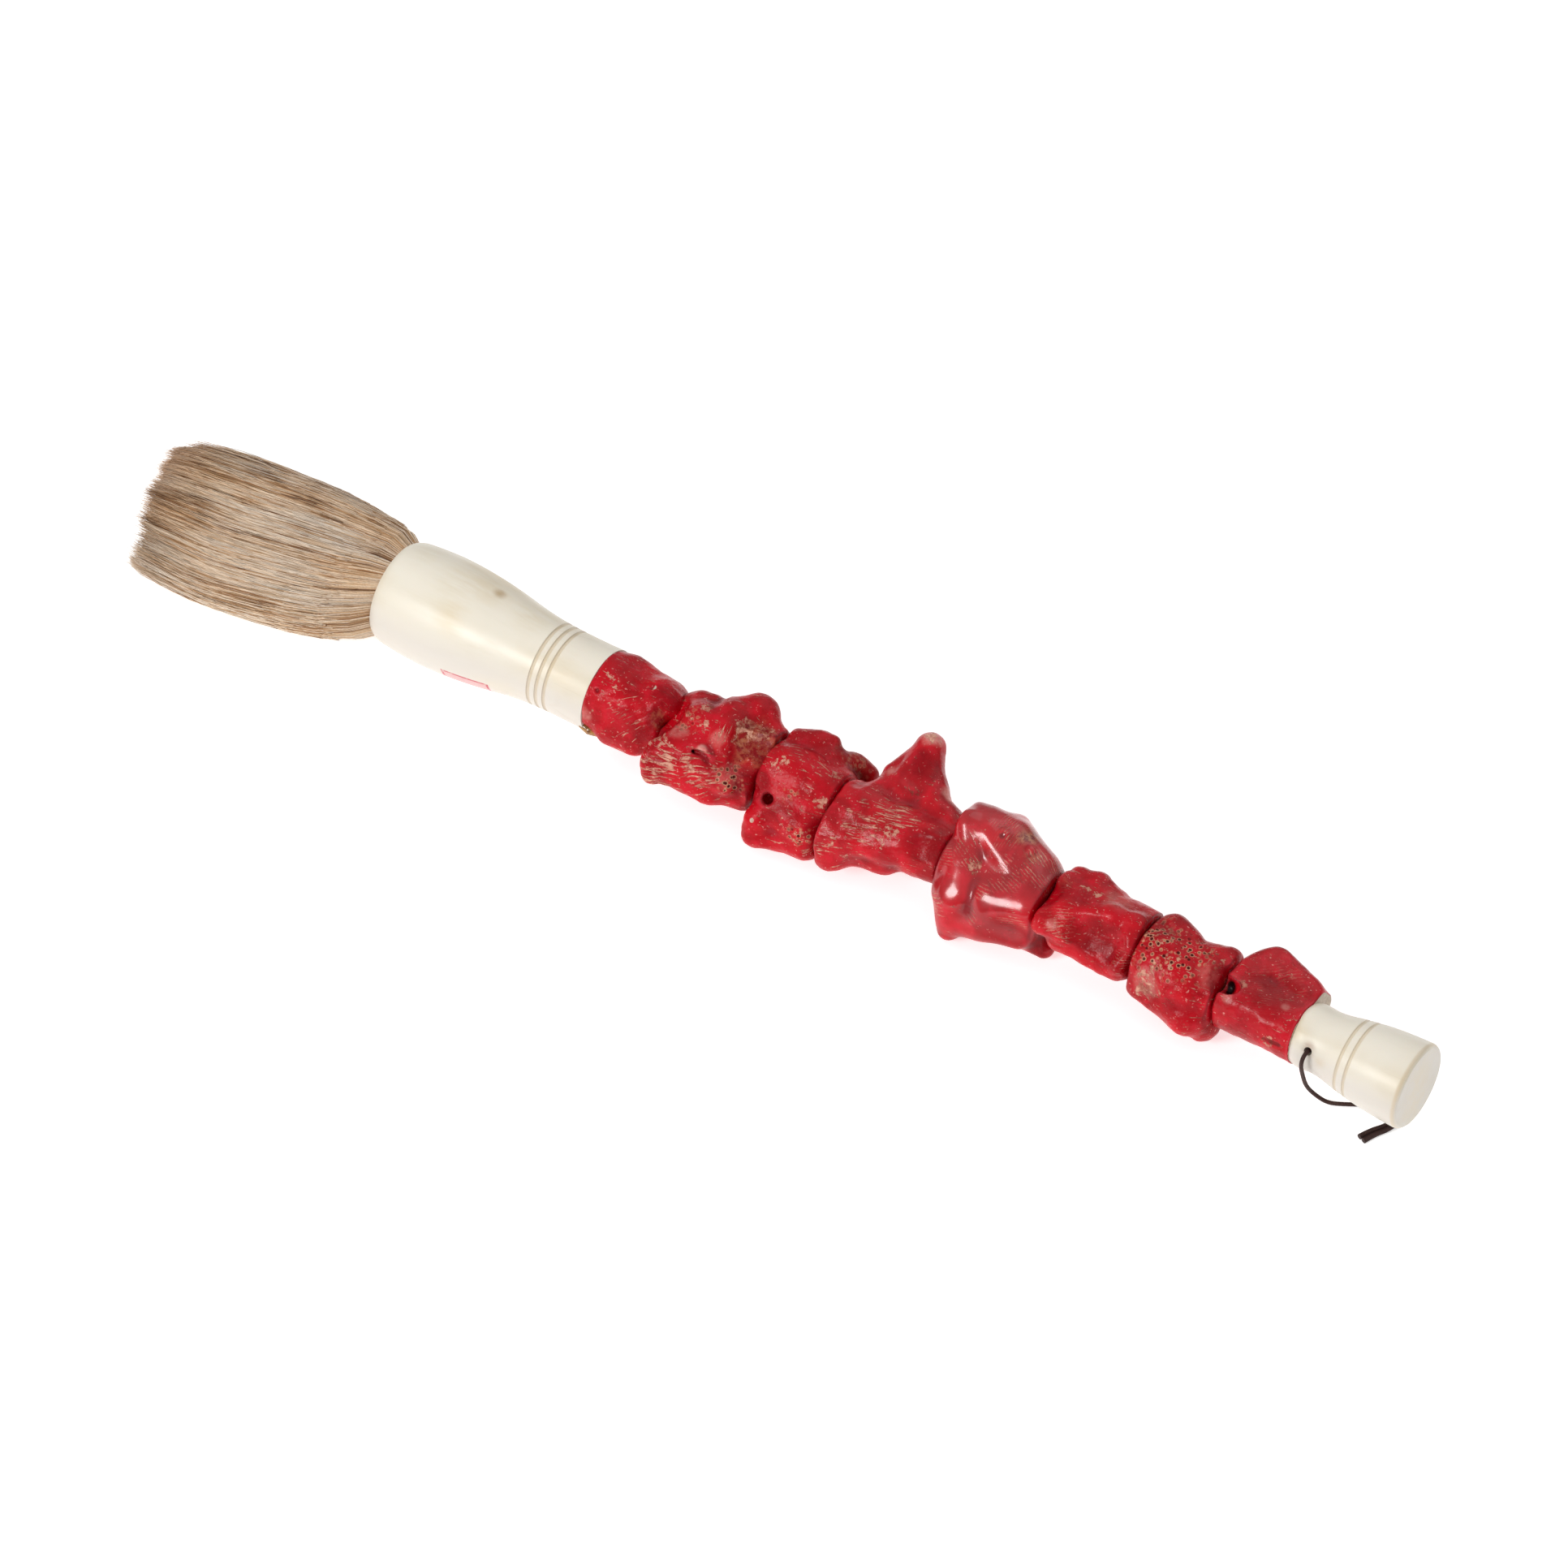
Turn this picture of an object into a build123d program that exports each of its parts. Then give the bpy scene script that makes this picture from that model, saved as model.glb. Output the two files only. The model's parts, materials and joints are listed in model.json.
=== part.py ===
from build123d import *
import os
from math import cos, radians, sin, tan

# A large calligraphy brush, lying on a table. Its handle is a string of vertebra-shaped bone
# beads on a rod, between a turned bone ferrule that holds the hair and a turned bone end cap.
# The brush lies along X, hair towards -X. The origin is under its middle, on the table.
# Around the brush's axis, angle 0 points to +Y and angle 90 points straight up.

# Driving dimensions, in millimetres.
BRUSH_LENGTH = 420.0
AXIS_Z = 16.5  # the ferrule's largest radius, so the ferrule rests on the table
HAIR_TIP_X = -BRUSH_LENGTH / 2
MOUTH_X = -128.0
NECK_END_X = -57.0
GLUE_SEAM = 0.8
GLUE_SEAM_RADIUS = 11.6
BEAD_STATIONS = (NECK_END_X + GLUE_SEAM, -33.5, -1.0, 22.7, 58.8, 91.4, 122.3, 148.6, 173.5)
CAP_MOUTH_X = BEAD_STATIONS[-1]
CAP_LENGTH = BRUSH_LENGTH / 2 - CAP_MOUTH_X

ROD_RADIUS = 3.0
ROD_START_X = -91.0
ROD_END_X = 194.0
SOCKET_RADIUS = 4.0  # the sockets in the ferrule and the cap leave room for adhesive
FIT = 0.05  # clearance between fixed pieces that slide together

CUP_RADIUS = 13.4
CUP_BOTTOM_X = -100.0
RESIN_THICKNESS = 6.0
HAIR_GAP = 0.3  # between the bound root and the hair that bends
BEND_RADIUS = 20.0
CORE_SHARE = 0.5  # the stiffer core hair, as a share of the tuft's width
CORE_END_X = -203.0

CORD_DIAMETER = 1.2
CORD_RADIUS = CORD_DIAMETER / 2
CROSS_HOLE_X = 179.7
CROSS_HOLE_RADIUS = 1.2
CROSS_HOLE_ANGLE = 155.0  # the hole's near mouth, a little above the axis on the -Y side


def place(x, reach, angle):
    """The point at station x, reach from the brush's axis, in the direction of angle."""
    turn = radians(angle)
    return Vector(x, reach * cos(turn), AXIS_Z + reach * sin(turn))


def turned(points, grooves=(), groove_radius=0.0):
    """A turned piece: its outline is a smooth line through (x, radius) points, with grooves
    whose round bottoms are centred at other (x, radius) points."""
    outline = Spline([(x, 0, AXIS_Z + radius) for x, radius in points])
    start_x, end_x = points[0][0], points[-1][0]
    sides = Polyline([outline @ 0, (start_x, 0, AXIS_Z), (end_x, 0, AXIS_Z), outline @ 1])
    profile = make_face([outline.edge(), *sides.edges()])
    for x, radius in grooves:
        centre = Plane(origin=(x, 0, AXIS_Z + radius), z_dir=(0, 1, 0))
        profile = profile - centre * Circle(groove_radius)
    return revolve(profile, Axis((0, 0, AXIS_Z), (1, 0, 0)))


def drum(start_x, end_x, radius, bore=0.0):
    """A plain cylinder or tube on the brush's axis."""
    plane = Plane(origin=(start_x, 0, AXIS_Z), z_dir=(1, 0, 0))
    solid = extrude(plane * Circle(radius), end_x - start_x)
    if bore:
        solid = solid - extrude(plane * Circle(bore), end_x - start_x)
    return solid


def ring(x, radius, thickness):
    """A round ring about the brush's axis."""
    plane = Plane(origin=(x, 0, AXIS_Z), z_dir=(1, 0, 0))
    return plane * Torus(radius, thickness)


def slab(start_x, end_x):
    """Everything between two stations, to trim a piece with."""
    width = 200.0
    middle = Pos((start_x + end_x) / 2, 0, AXIS_Z)
    return middle * Box(end_x - start_x, width, width)


def cross_hole():
    """The cord's hole, straight through the cap and the rod."""
    width = 40.0
    mouth = place(CROSS_HOLE_X, width / 2, CROSS_HOLE_ANGLE)
    back = place(CROSS_HOLE_X, -width / 2, CROSS_HOLE_ANGLE)
    plane = Plane(origin=back, z_dir=mouth - back)
    return extrude(plane * Circle(CROSS_HOLE_RADIUS), width)


# ---------------------------------------------------------------- ferrule and its inside

# Distance behind the mouth, and the radius there.
FERRULE_OUTLINE = (
    (0.0, 14.4),
    (1.2, 15.1),
    (5.0, 15.9),
    (14.0, 16.5),
    (25.0, 16.1),
    (36.0, 14.8),
    (47.0, 13.1),
    (54.0, 12.6),
    (71.0, 12.6),
)
FERRULE_GROOVES = ((52.9, 12.75), (55.5, 12.65), (58.1, 12.55))
GROOVE_RADIUS = 0.55


def ferrule():
    """The turned bone cup, with three fine grooves round its neck."""
    outline = [(MOUTH_X + behind, radius) for behind, radius in FERRULE_OUTLINE]
    grooves = [(MOUTH_X + behind, radius) for behind, radius in FERRULE_GROOVES]
    body = turned(outline, grooves, GROOVE_RADIUS)
    body = body - drum(MOUTH_X, CUP_BOTTOM_X, CUP_RADIUS)
    return body - drum(ROD_START_X - 1.0, NECK_END_X, SOCKET_RADIUS)


def ferrule_adhesive():
    """The glue between the rod and the ferrule's socket."""
    return drum(ROD_START_X, NECK_END_X, SOCKET_RADIUS - FIT, ROD_RADIUS + FIT)


def glue_seam():
    """The ring of amber glue squeezed out between the ferrule and the first bead."""
    return drum(NECK_END_X, BEAD_STATIONS[0], GLUE_SEAM_RADIUS, ROD_RADIUS + FIT)


def root_resin():
    """The resin that seals the hair's root to the bottom of the cup."""
    return drum(CUP_BOTTOM_X - RESIN_THICKNESS, CUP_BOTTOM_X, CUP_RADIUS - FIT)


BINDING_X = -116.0
BINDING_TURNS = 5
THREAD_RADIUS = 0.4


def binding_stations():
    """Where the turns of the binding thread lie, side by side."""
    pitch = 2 * THREAD_RADIUS + 0.1
    return [BINDING_X + turn * pitch for turn in range(BINDING_TURNS)]


def root_binding():
    """The thread wound round the hair's root before it is set in the cup."""
    turns = [ring(x, CUP_RADIUS - 2 * THREAD_RADIUS, THREAD_RADIUS) for x in binding_stations()]
    return Compound(children=turns)


# ---------------------------------------------------------------- hair

# Station, middle across, middle height, half width and half height. The tuft spreads and
# flattens as it lies on the table, and drifts a little towards -Y.
TUFT = (
    (MOUTH_X, 0.0, AXIS_Z, 13.3, 13.3),
    (-131.0, -0.6, 16.4, 17.2, 14.8),
    (-136.0, -1.5, 16.0, 20.2, 15.4),
    (-146.0, -2.5, 15.3, 23.4, 15.3),
    (-160.0, -3.2, 14.5, 25.8, 14.5),
    (-175.0, -4.1, 13.4, 26.8, 13.4),
    (-192.0, -4.9, 12.1, 25.7, 12.1),
    (-204.0, -6.8, 11.3, 23.6, 11.3),
    (HAIR_TIP_X, -7.2, 10.9, 20.5, 9.6),
)


def tuft_shape(share, end_x):
    """The tuft's outer shape, or a share of it, from the mouth to end_x."""
    rows = [row for row in TUFT if row[0] > end_x]
    rows.append((end_x, *TUFT[-1][1:]))
    faces = []
    for x, across, height, half_width, half_height in rows:
        plane = Plane(origin=(x, across, height), x_dir=(0, 1, 0), z_dir=(1, 0, 0))
        faces.append(plane * Ellipse(share * half_width, share * half_height))
    return loft(faces)


def pivot_ball(radius):
    """A ball about the middle of the mouth, where the hair bends."""
    return Pos(MOUTH_X, 0, AXIS_Z) * Sphere(radius)


def root_stem(radius):
    """The part of the hair that sits in the cup, from the resin to the mouth."""
    return drum(MOUTH_X, CUP_BOTTOM_X - RESIN_THICKNESS, radius)


def hair_pieces():
    """The outer hair and the core hair, each as a bound root and a tuft that bends."""
    stem_radius = CUP_RADIUS - FIT
    core_radius = CORE_SHARE * TUFT[0][3]
    outer = tuft_shape(1.0, HAIR_TIP_X)
    inner = tuft_shape(CORE_SHARE, CORE_END_X)
    root_end = pivot_ball(BEND_RADIUS)
    bent_from = pivot_ball(BEND_RADIUS + HAIR_GAP)
    waist_start = binding_stations()[0] - THREAD_RADIUS
    waist_end = binding_stations()[-1] + THREAD_RADIUS
    waist = drum(waist_start, waist_end, CUP_RADIUS + 1.0, CUP_RADIUS - 3 * THREAD_RADIUS)
    root = (outer & root_end) + root_stem(stem_radius) - waist
    core_root = (inner & root_end) + root_stem(core_radius)
    return {
        "hair_root_outer": root - core_root,
        "hair_root_core": core_root,
        "tuft_outer": outer - bent_from - inner,
        "tuft_core": inner - bent_from,
    }


# ---------------------------------------------------------------- bone beads

def lobe(start, start_radius, end, end_radius):
    """A rounded cone of bone, between a ball at start and a ball at end."""
    axis = end - start
    plane = Plane(start, z_dir=axis)
    if start_radius == end_radius:
        middle = Solid.make_cylinder(start_radius, axis.length, plane=plane)
    else:
        middle = Solid.make_cone(start_radius, end_radius, axis.length, plane=plane)
    balls = [Location(start) * Sphere(start_radius), Location(end) * Sphere(end_radius)]
    return Part() + middle + balls


# Each bead is a drum of bone with its radius at the start, the waist and the end, and the
# processes that stand out of it. A process runs from one ball to another, and each ball is
# its station, reach, angle and radius. Overhanging processes reach past the bead's ends.
TOP, FRONT, LOW = 37, 127, 217  # the angles at which most processes stand out
BEADS = (
    {
        "drum": (11.5, 11.2, 11.0),
        "processes": (
            ((-51.5, 6.6, TOP, 6.0), (-40.0, 5.4, TOP, 6.0)),
            ((-49.0, 7.5, LOW, 6.2), (-42.0, 7.2, LOW, 6.2)),
            ((-50.0, 6.2, FRONT, 5.6), (-40.0, 6.0, FRONT, 5.6)),
        ),
    },
    {
        "drum": (10.6, 10.0, 11.2),
        "processes": (
            ((-28.0, 8.6, TOP, 4.3), (-20.0, 6.5, TOP, 5.0)),
            ((-14.0, 8.0, 40, 7.2), (-12.0, 13.3, TOP, 5.4)),
            ((-24.0, 9.0, 200, 7.0), (-30.2, 15.1, 199, 3.2)),
            ((-28.0, 12.5, 212, 4.3), (-12.0, 12.0, LOW, 4.6)),
            ((-22.0, 9.0, 100, 4.5), (-13.5, 10.6, 145, 3.2)),
        ),
    },
    {
        "drum": (11.4, 10.5, 10.5),
        "processes": (
            ((2.8, 11.4, 40, 3.9), (9.2, 13.1, TOP, 4.3)),
            ((13.0, 10.0, 35, 4.0), (18.7, 13.6, 6, 3.6)),
            ((4.8, 6.5, FRONT, 5.6), (16.5, 6.5, FRONT, 5.6)),
            ((6.0, 9.0, 220, 6.0), (4.0, 15.0, 224, 4.6)),
            ((3.2, 17.68, 225, 4.0), (17.4, 13.5, 221, 5.0)),
        ),
    },
    {
        "drum": (10.6, 9.0, 8.6),
        "processes": (
            ((26.2, 6.8, 200, 3.3), (26.6, 14.3, LOW, 3.8)),
            ((28.5, 9.5, 150, 4.6), (44.0, 5.2, 140, 5.0)),
            ((34.5, 10.0, 45, 5.5), (37.5, 25.9, 26, 4.6)),
            ((46.5, 9.0, 42, 6.3), (39.5, 20.5, 29, 5.0)),
            ((36.0, 8.4, LOW, 4.8), (42.0, 7.4, LOW, 4.8)),
            ((40.0, 7.0, 306, 6.0), (42.0, 15.4, 305.8, 4.0)),
        ),
    },
    {
        "drum": (11.0, 10.4, 10.8),
        "processes": (
            ((63.2, 14.6, 38, 4.2), (69.0, 14.5, 38, 4.2)),
            ((72.2, 16.3, 36, 3.7), (80.0, 11.6, 40, 4.4)),
            ((66.5, 9.0, 222, 7.0), (65.3, 17.58, 227.6, 3.5)),
            ((70.0, 12.6, LOW, 4.2), (86.0, 10.6, LOW, 4.2)),
            ((66.0, 7.0, FRONT, 6.0), (82.0, 6.2, FRONT, 5.6)),
        ),
        "overhanging": (((84.0, 8.5, 240, 5.6), (91.8, 13.2, 250, 3.0)),),
    },
    {
        "drum": (9.2, 8.8, 9.6),
        "processes": (
            ((95.4, 9.7, 38, 3.9), (101.2, 10.8, 38, 4.4)),
            ((103.0, 9.4, 38, 4.0), (118.0, 9.0, 38, 4.2)),
            ((95.0, 8.3, 150, 3.4), (110.0, 5.4, 120, 4.6)),
        ),
    },
    {
        "drum": (11.0, 10.2, 10.6),
        "processes": (
            ((126.6, 10.0, 38, 4.2), (134.0, 8.0, 38, 4.4)),
            ((127.2, 8.0, 215, 4.4), (136.0, 8.0, LOW, 4.6)),
            ((142.6, 10.8, 222, 5.0), (143.6, 10.8, 232, 4.9)),
            ((128.0, 6.8, FRONT, 5.2), (140.0, 6.2, FRONT, 5.2)),
            ((131.0, 7.0, 306, 6.0), (131.5, 15.65, 305.1, 3.7)),
        ),
    },
    {
        "drum": (9.8, 9.2, 9.6),
        "processes": (
            ((153.8, 8.8, 40, 5.0), (157.6, 13.8, TOP, 5.4)),
            ((160.0, 12.8, TOP, 5.4), (170.0, 9.6, TOP, 4.4)),
            ((168.0, 8.0, 15, 5.6), (172.0, 8.0, 10, 5.4)),
            ((155.0, 5.4, FRONT, 5.4), (168.0, 4.8, FRONT, 5.2)),
        ),
    },
)
BEAD_GAP = 0.25  # the beads' ends stand this far back from each station
EDGE_ROUNDING = 1.2


def bead_drum(start_x, end_x, radii):
    """The bead's body: a waisted drum with rounded ends."""
    start_radius, waist_radius, end_radius = radii
    outline = (
        (start_x, start_radius - EDGE_ROUNDING),
        (start_x + EDGE_ROUNDING, start_radius),
        ((start_x + end_x) / 2, waist_radius),
        (end_x - EDGE_ROUNDING, end_radius),
        (end_x, end_radius - EDGE_ROUNDING),
    )
    return turned(outline)


def lobes(processes):
    """The bead's processes, one rounded cone each."""
    return [lobe(place(*a[:3]), a[3], place(*b[:3]), b[3]) for a, b in processes]


def bead(number):
    """One vertebra-shaped bead, drilled for the rod."""
    shape = BEADS[number]
    start_x = BEAD_STATIONS[number] + (BEAD_GAP if number else 0.0)
    end_x = BEAD_STATIONS[number + 1] - (BEAD_GAP if number + 1 < len(BEADS) else 0.0)
    body = bead_drum(start_x, end_x, shape["drum"])
    for process in lobes(shape["processes"]):
        body = body + process
    body = body & slab(start_x, end_x)
    for process in lobes(shape.get("overhanging", ())):
        body = body + process
    return body - drum(start_x - 5.0, end_x + 5.0, ROD_RADIUS + FIT)


# ---------------------------------------------------------------- rod and end cap

# Distance behind the cap's mouth, and the radius there.
CAP_OUTLINE = (
    (0.0, 8.4),
    (0.8, 9.0),
    (6.0, 9.3),
    (14.0, 10.4),
    (19.0, 11.3),
    (25.0, 12.1),
    (CAP_LENGTH - 2.5, 12.7),
    (CAP_LENGTH - 0.7, 12.5),
    (CAP_LENGTH, 11.8),
)
CAP_GROOVES = ((16.1, 11.0), (19.1, 11.5))


def handle_rod():
    """The wooden rod that the beads are strung on."""
    return drum(ROD_START_X, ROD_END_X, ROD_RADIUS) - cross_hole()


def end_cap():
    """The turned bone cap, with two grooves and a cross hole for the hanging cord."""
    outline = [(CAP_MOUTH_X + behind, radius) for behind, radius in CAP_OUTLINE]
    grooves = [(CAP_MOUTH_X + behind, radius) for behind, radius in CAP_GROOVES]
    body = turned(outline, grooves, GROOVE_RADIUS)
    return body - drum(CAP_MOUTH_X - 1.0, ROD_END_X, SOCKET_RADIUS) - cross_hole()


def cap_adhesive():
    """The glue between the rod and the cap's socket, behind the cross hole."""
    start_x = CROSS_HOLE_X + CROSS_HOLE_RADIUS + 1.0
    return drum(start_x, ROD_END_X, SOCKET_RADIUS - FIT, ROD_RADIUS + FIT)


# ---------------------------------------------------------------- hanging cord

# The loop leaves the knot, drops out of sight under the cap, rises to the hole's near
# mouth, passes through, and runs back to the knot along the table on the far side.
CORD_ROUTE = (
    (203.0, -1.6, 1.4),
    (198.6, -0.8, 0.8),
    (194.4, -1.4, 0.7),
    (190.0, -4.2, 0.75),
    (185.8, -6.6, 0.9),
    (182.2, -7.8, 3.4),
    (180.3, -9.5, 7.4),
    (179.9, -11.0, 13.2),
    (179.75, -12.2, 18.6),
    (179.7, -10.0, 21.2),
    (179.65, -5.0, 18.8),
    (179.75, 4.6, 14.5),
    (179.7, 10.1, 11.9),
    (180.2, 11.8, 8.6),
    (182.4, 11.4, 3.6),
    (186.4, 9.4, 0.9),
    (192.0, 6.6, 0.7),
    (197.6, 3.2, 0.75),
    (203.4, 0.4, 1.4),
)
KNOT_CENTRE = (205.0, -1.0, 1.75)
KNOT_SIZE = (2.5, 2.2, 1.7)  # half lengths along X, Y and Z
TAILS = (
    ((204.2, -2.2, 1.3), (201.7, -5.8, 0.7), (198.7, -11.3, 0.65)),
    ((205.9, -2.6, 1.3), (203.1, -7.0, 0.7), (200.05, -12.1, 0.65)),
)
ARC_SHARE = 0.45  # of the shorter run, so that two arcs fit on one run


def corner_radii(route):
    """The arc at each corner, as large as the two runs beside it allow."""
    points = [Vector(*point) for point in route]
    radii = []
    for before, corner, after in zip(points, points[1:], points[2:]):
        arriving, leaving = corner - before, after - corner
        half_turn = radians(arriving.get_angle(leaving)) / 2
        radii.append(ARC_SHARE * min(arriving.length, leaving.length) / tan(half_turn))
    return radii


def tube(name, route, radius):
    """A cord along a route of straight runs joined by tangent arcs."""
    radii = corner_radii(route)
    path = FilletPolyline(*route, radius=radii)
    solid = sweep(Plane(origin=path @ 0, z_dir=path % 0) * Circle(radius), path=path)
    print(f"{name}: length {path.length:.1f} mm, radii", [round(r, 1) for r in radii])
    plain = Circle(radius).area * path.length
    print(f"{name}: volume {solid.volume:.2f}, section times length {plain:.2f}")
    return solid


def hanging_cord():
    """The loop of cord through the cap."""
    return tube("hanging_cord", CORD_ROUTE, CORD_RADIUS)


def cord_knot():
    """The overhand knot that joins the loop's ends, flattened on the table."""
    ball = Sphere(1.0)
    return Pos(*KNOT_CENTRE) * scale(ball, by=KNOT_SIZE)


def cord_tails():
    """The two cut ends of the cord beyond the knot."""
    return Compound(children=[tube("cord_tail", tail, CORD_RADIUS) for tail in TAILS])


# ---------------------------------------------------------------- the whole brush

def nodes():
    """Every piece of the brush by its node's name."""
    pieces = {
        "ferrule": ferrule(),
        "ferrule_adhesive": ferrule_adhesive(),
        "glue_seam": glue_seam(),
        "root_resin": root_resin(),
        "root_binding": root_binding(),
        "handle_rod": handle_rod(),
        "end_cap": end_cap(),
        "cap_adhesive": cap_adhesive(),
        "hanging_cord": hanging_cord(),
        "cord_knot": cord_knot(),
        "cord_tails": cord_tails(),
    }
    pieces.update(hair_pieces())
    for number in range(len(BEADS)):
        pieces[f"vertebra_bead_{number + 1}"] = bead(number)
    return pieces


os.makedirs("parts", exist_ok=True)
for node, piece in nodes().items():
    export_step(piece, f"parts/{node}.step")
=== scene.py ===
import json
from math import cos, pi, radians, sin, tan

import bpy
import numpy as np
from mathutils import Matrix, Vector


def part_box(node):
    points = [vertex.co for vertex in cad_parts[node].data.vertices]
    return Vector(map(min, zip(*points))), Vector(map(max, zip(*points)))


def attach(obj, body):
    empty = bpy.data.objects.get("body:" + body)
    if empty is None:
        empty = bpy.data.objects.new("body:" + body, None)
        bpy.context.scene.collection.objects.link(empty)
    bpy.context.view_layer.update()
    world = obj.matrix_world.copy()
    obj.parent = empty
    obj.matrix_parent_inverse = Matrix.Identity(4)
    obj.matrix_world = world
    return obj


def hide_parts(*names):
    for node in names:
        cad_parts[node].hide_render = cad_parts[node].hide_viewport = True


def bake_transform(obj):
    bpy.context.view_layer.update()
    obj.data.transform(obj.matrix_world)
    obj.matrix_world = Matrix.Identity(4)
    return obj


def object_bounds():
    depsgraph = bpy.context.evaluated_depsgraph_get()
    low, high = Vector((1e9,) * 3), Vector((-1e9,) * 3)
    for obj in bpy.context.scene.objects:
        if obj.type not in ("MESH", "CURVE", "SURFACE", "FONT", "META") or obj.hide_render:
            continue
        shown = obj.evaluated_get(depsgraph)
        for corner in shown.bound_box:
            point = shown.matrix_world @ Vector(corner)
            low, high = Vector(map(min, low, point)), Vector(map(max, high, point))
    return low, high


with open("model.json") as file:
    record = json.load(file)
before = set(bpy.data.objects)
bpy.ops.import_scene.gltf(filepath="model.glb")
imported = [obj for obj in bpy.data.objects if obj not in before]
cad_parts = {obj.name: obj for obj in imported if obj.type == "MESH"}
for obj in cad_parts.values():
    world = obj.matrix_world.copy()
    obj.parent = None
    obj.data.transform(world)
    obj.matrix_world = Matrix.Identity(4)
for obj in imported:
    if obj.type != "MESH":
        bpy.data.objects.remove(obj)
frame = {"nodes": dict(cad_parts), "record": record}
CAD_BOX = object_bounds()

# The looks of a large calligraphy brush that lies on a table: hair tuft, turned bone ferrule,
# red vertebra-shaped bone beads and a flared bone cap with a hanging cord.
# Shapes are worked out in millimetres and turned into metres when a mesh is made.
# On the brush's handle a place is (x, up, front): x along the brush, and `up` and `front`
# across it, tilted by LEAN so that `front` points at the side that faces the camera.

MM = 0.001
MOUNTS = {mount["name"]: mount for mount in frame["record"]["mounts"]}
AXIS_Z = MOUNTS["cap_end"]["pos_m"][2] / MM
LEAN = radians(37.1)
UP = np.array([0.0, cos(LEAN), sin(LEAN)])
FRONT = np.array([0.0, -sin(LEAN), cos(LEAN)])


def ends(node):
    """The node's first and last station along the brush, in millimetres."""
    low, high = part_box(node)
    return low.x / MM, high.x / MM


MOUTH_X = ends("ferrule")[0]
CAP_MOUTH_X, CAP_END_X = ends("end_cap")
HAIR_TIP_X = ends("tuft_outer")[0]


def spot(x, up, front):
    """A place on the handle, as a point in millimetres in the row frame."""
    return np.array([x, 0.0, AXIS_Z]) + up * UP + front * FRONT


def add_object(name, data):
    """A new object in the scene that shows that data."""
    made = bpy.data.objects.new(name, data)
    bpy.context.scene.collection.objects.link(made)
    return made


# ------------------------------------------------------------------ camera

CAMERA_TURN = radians(33.4)
CAMERA_TILT = radians(47.8)
CAMERA_FIELD = radians(8.5)
CAMERA_DISTANCE = 2946.8
LOOK_AT = np.array([4.4, -1.9, AXIS_Z])


def add_camera():
    """A long lens that looks down along the brush from the cap's side."""
    turn, tilt = CAMERA_TURN, CAMERA_TILT
    back = Vector((sin(turn) * cos(tilt), -cos(turn) * cos(tilt), sin(tilt)))
    right = Vector((cos(turn), sin(turn), 0.0))
    camera = bpy.data.cameras.new("camera")
    camera.sensor_width = 36.0
    camera.lens = camera.sensor_width / (2 * tan(CAMERA_FIELD / 2))
    camera.clip_end = 20.0
    holder = add_object("camera", camera)
    turned = Matrix((right, back.cross(right), back)).transposed().to_4x4()
    place = Vector(LOOK_AT * MM) + back * CAMERA_DISTANCE * MM
    holder.matrix_world = Matrix.Translation(place) @ turned
    bpy.context.scene.camera = holder


# ------------------------------------------------------------------ material helpers

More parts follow.
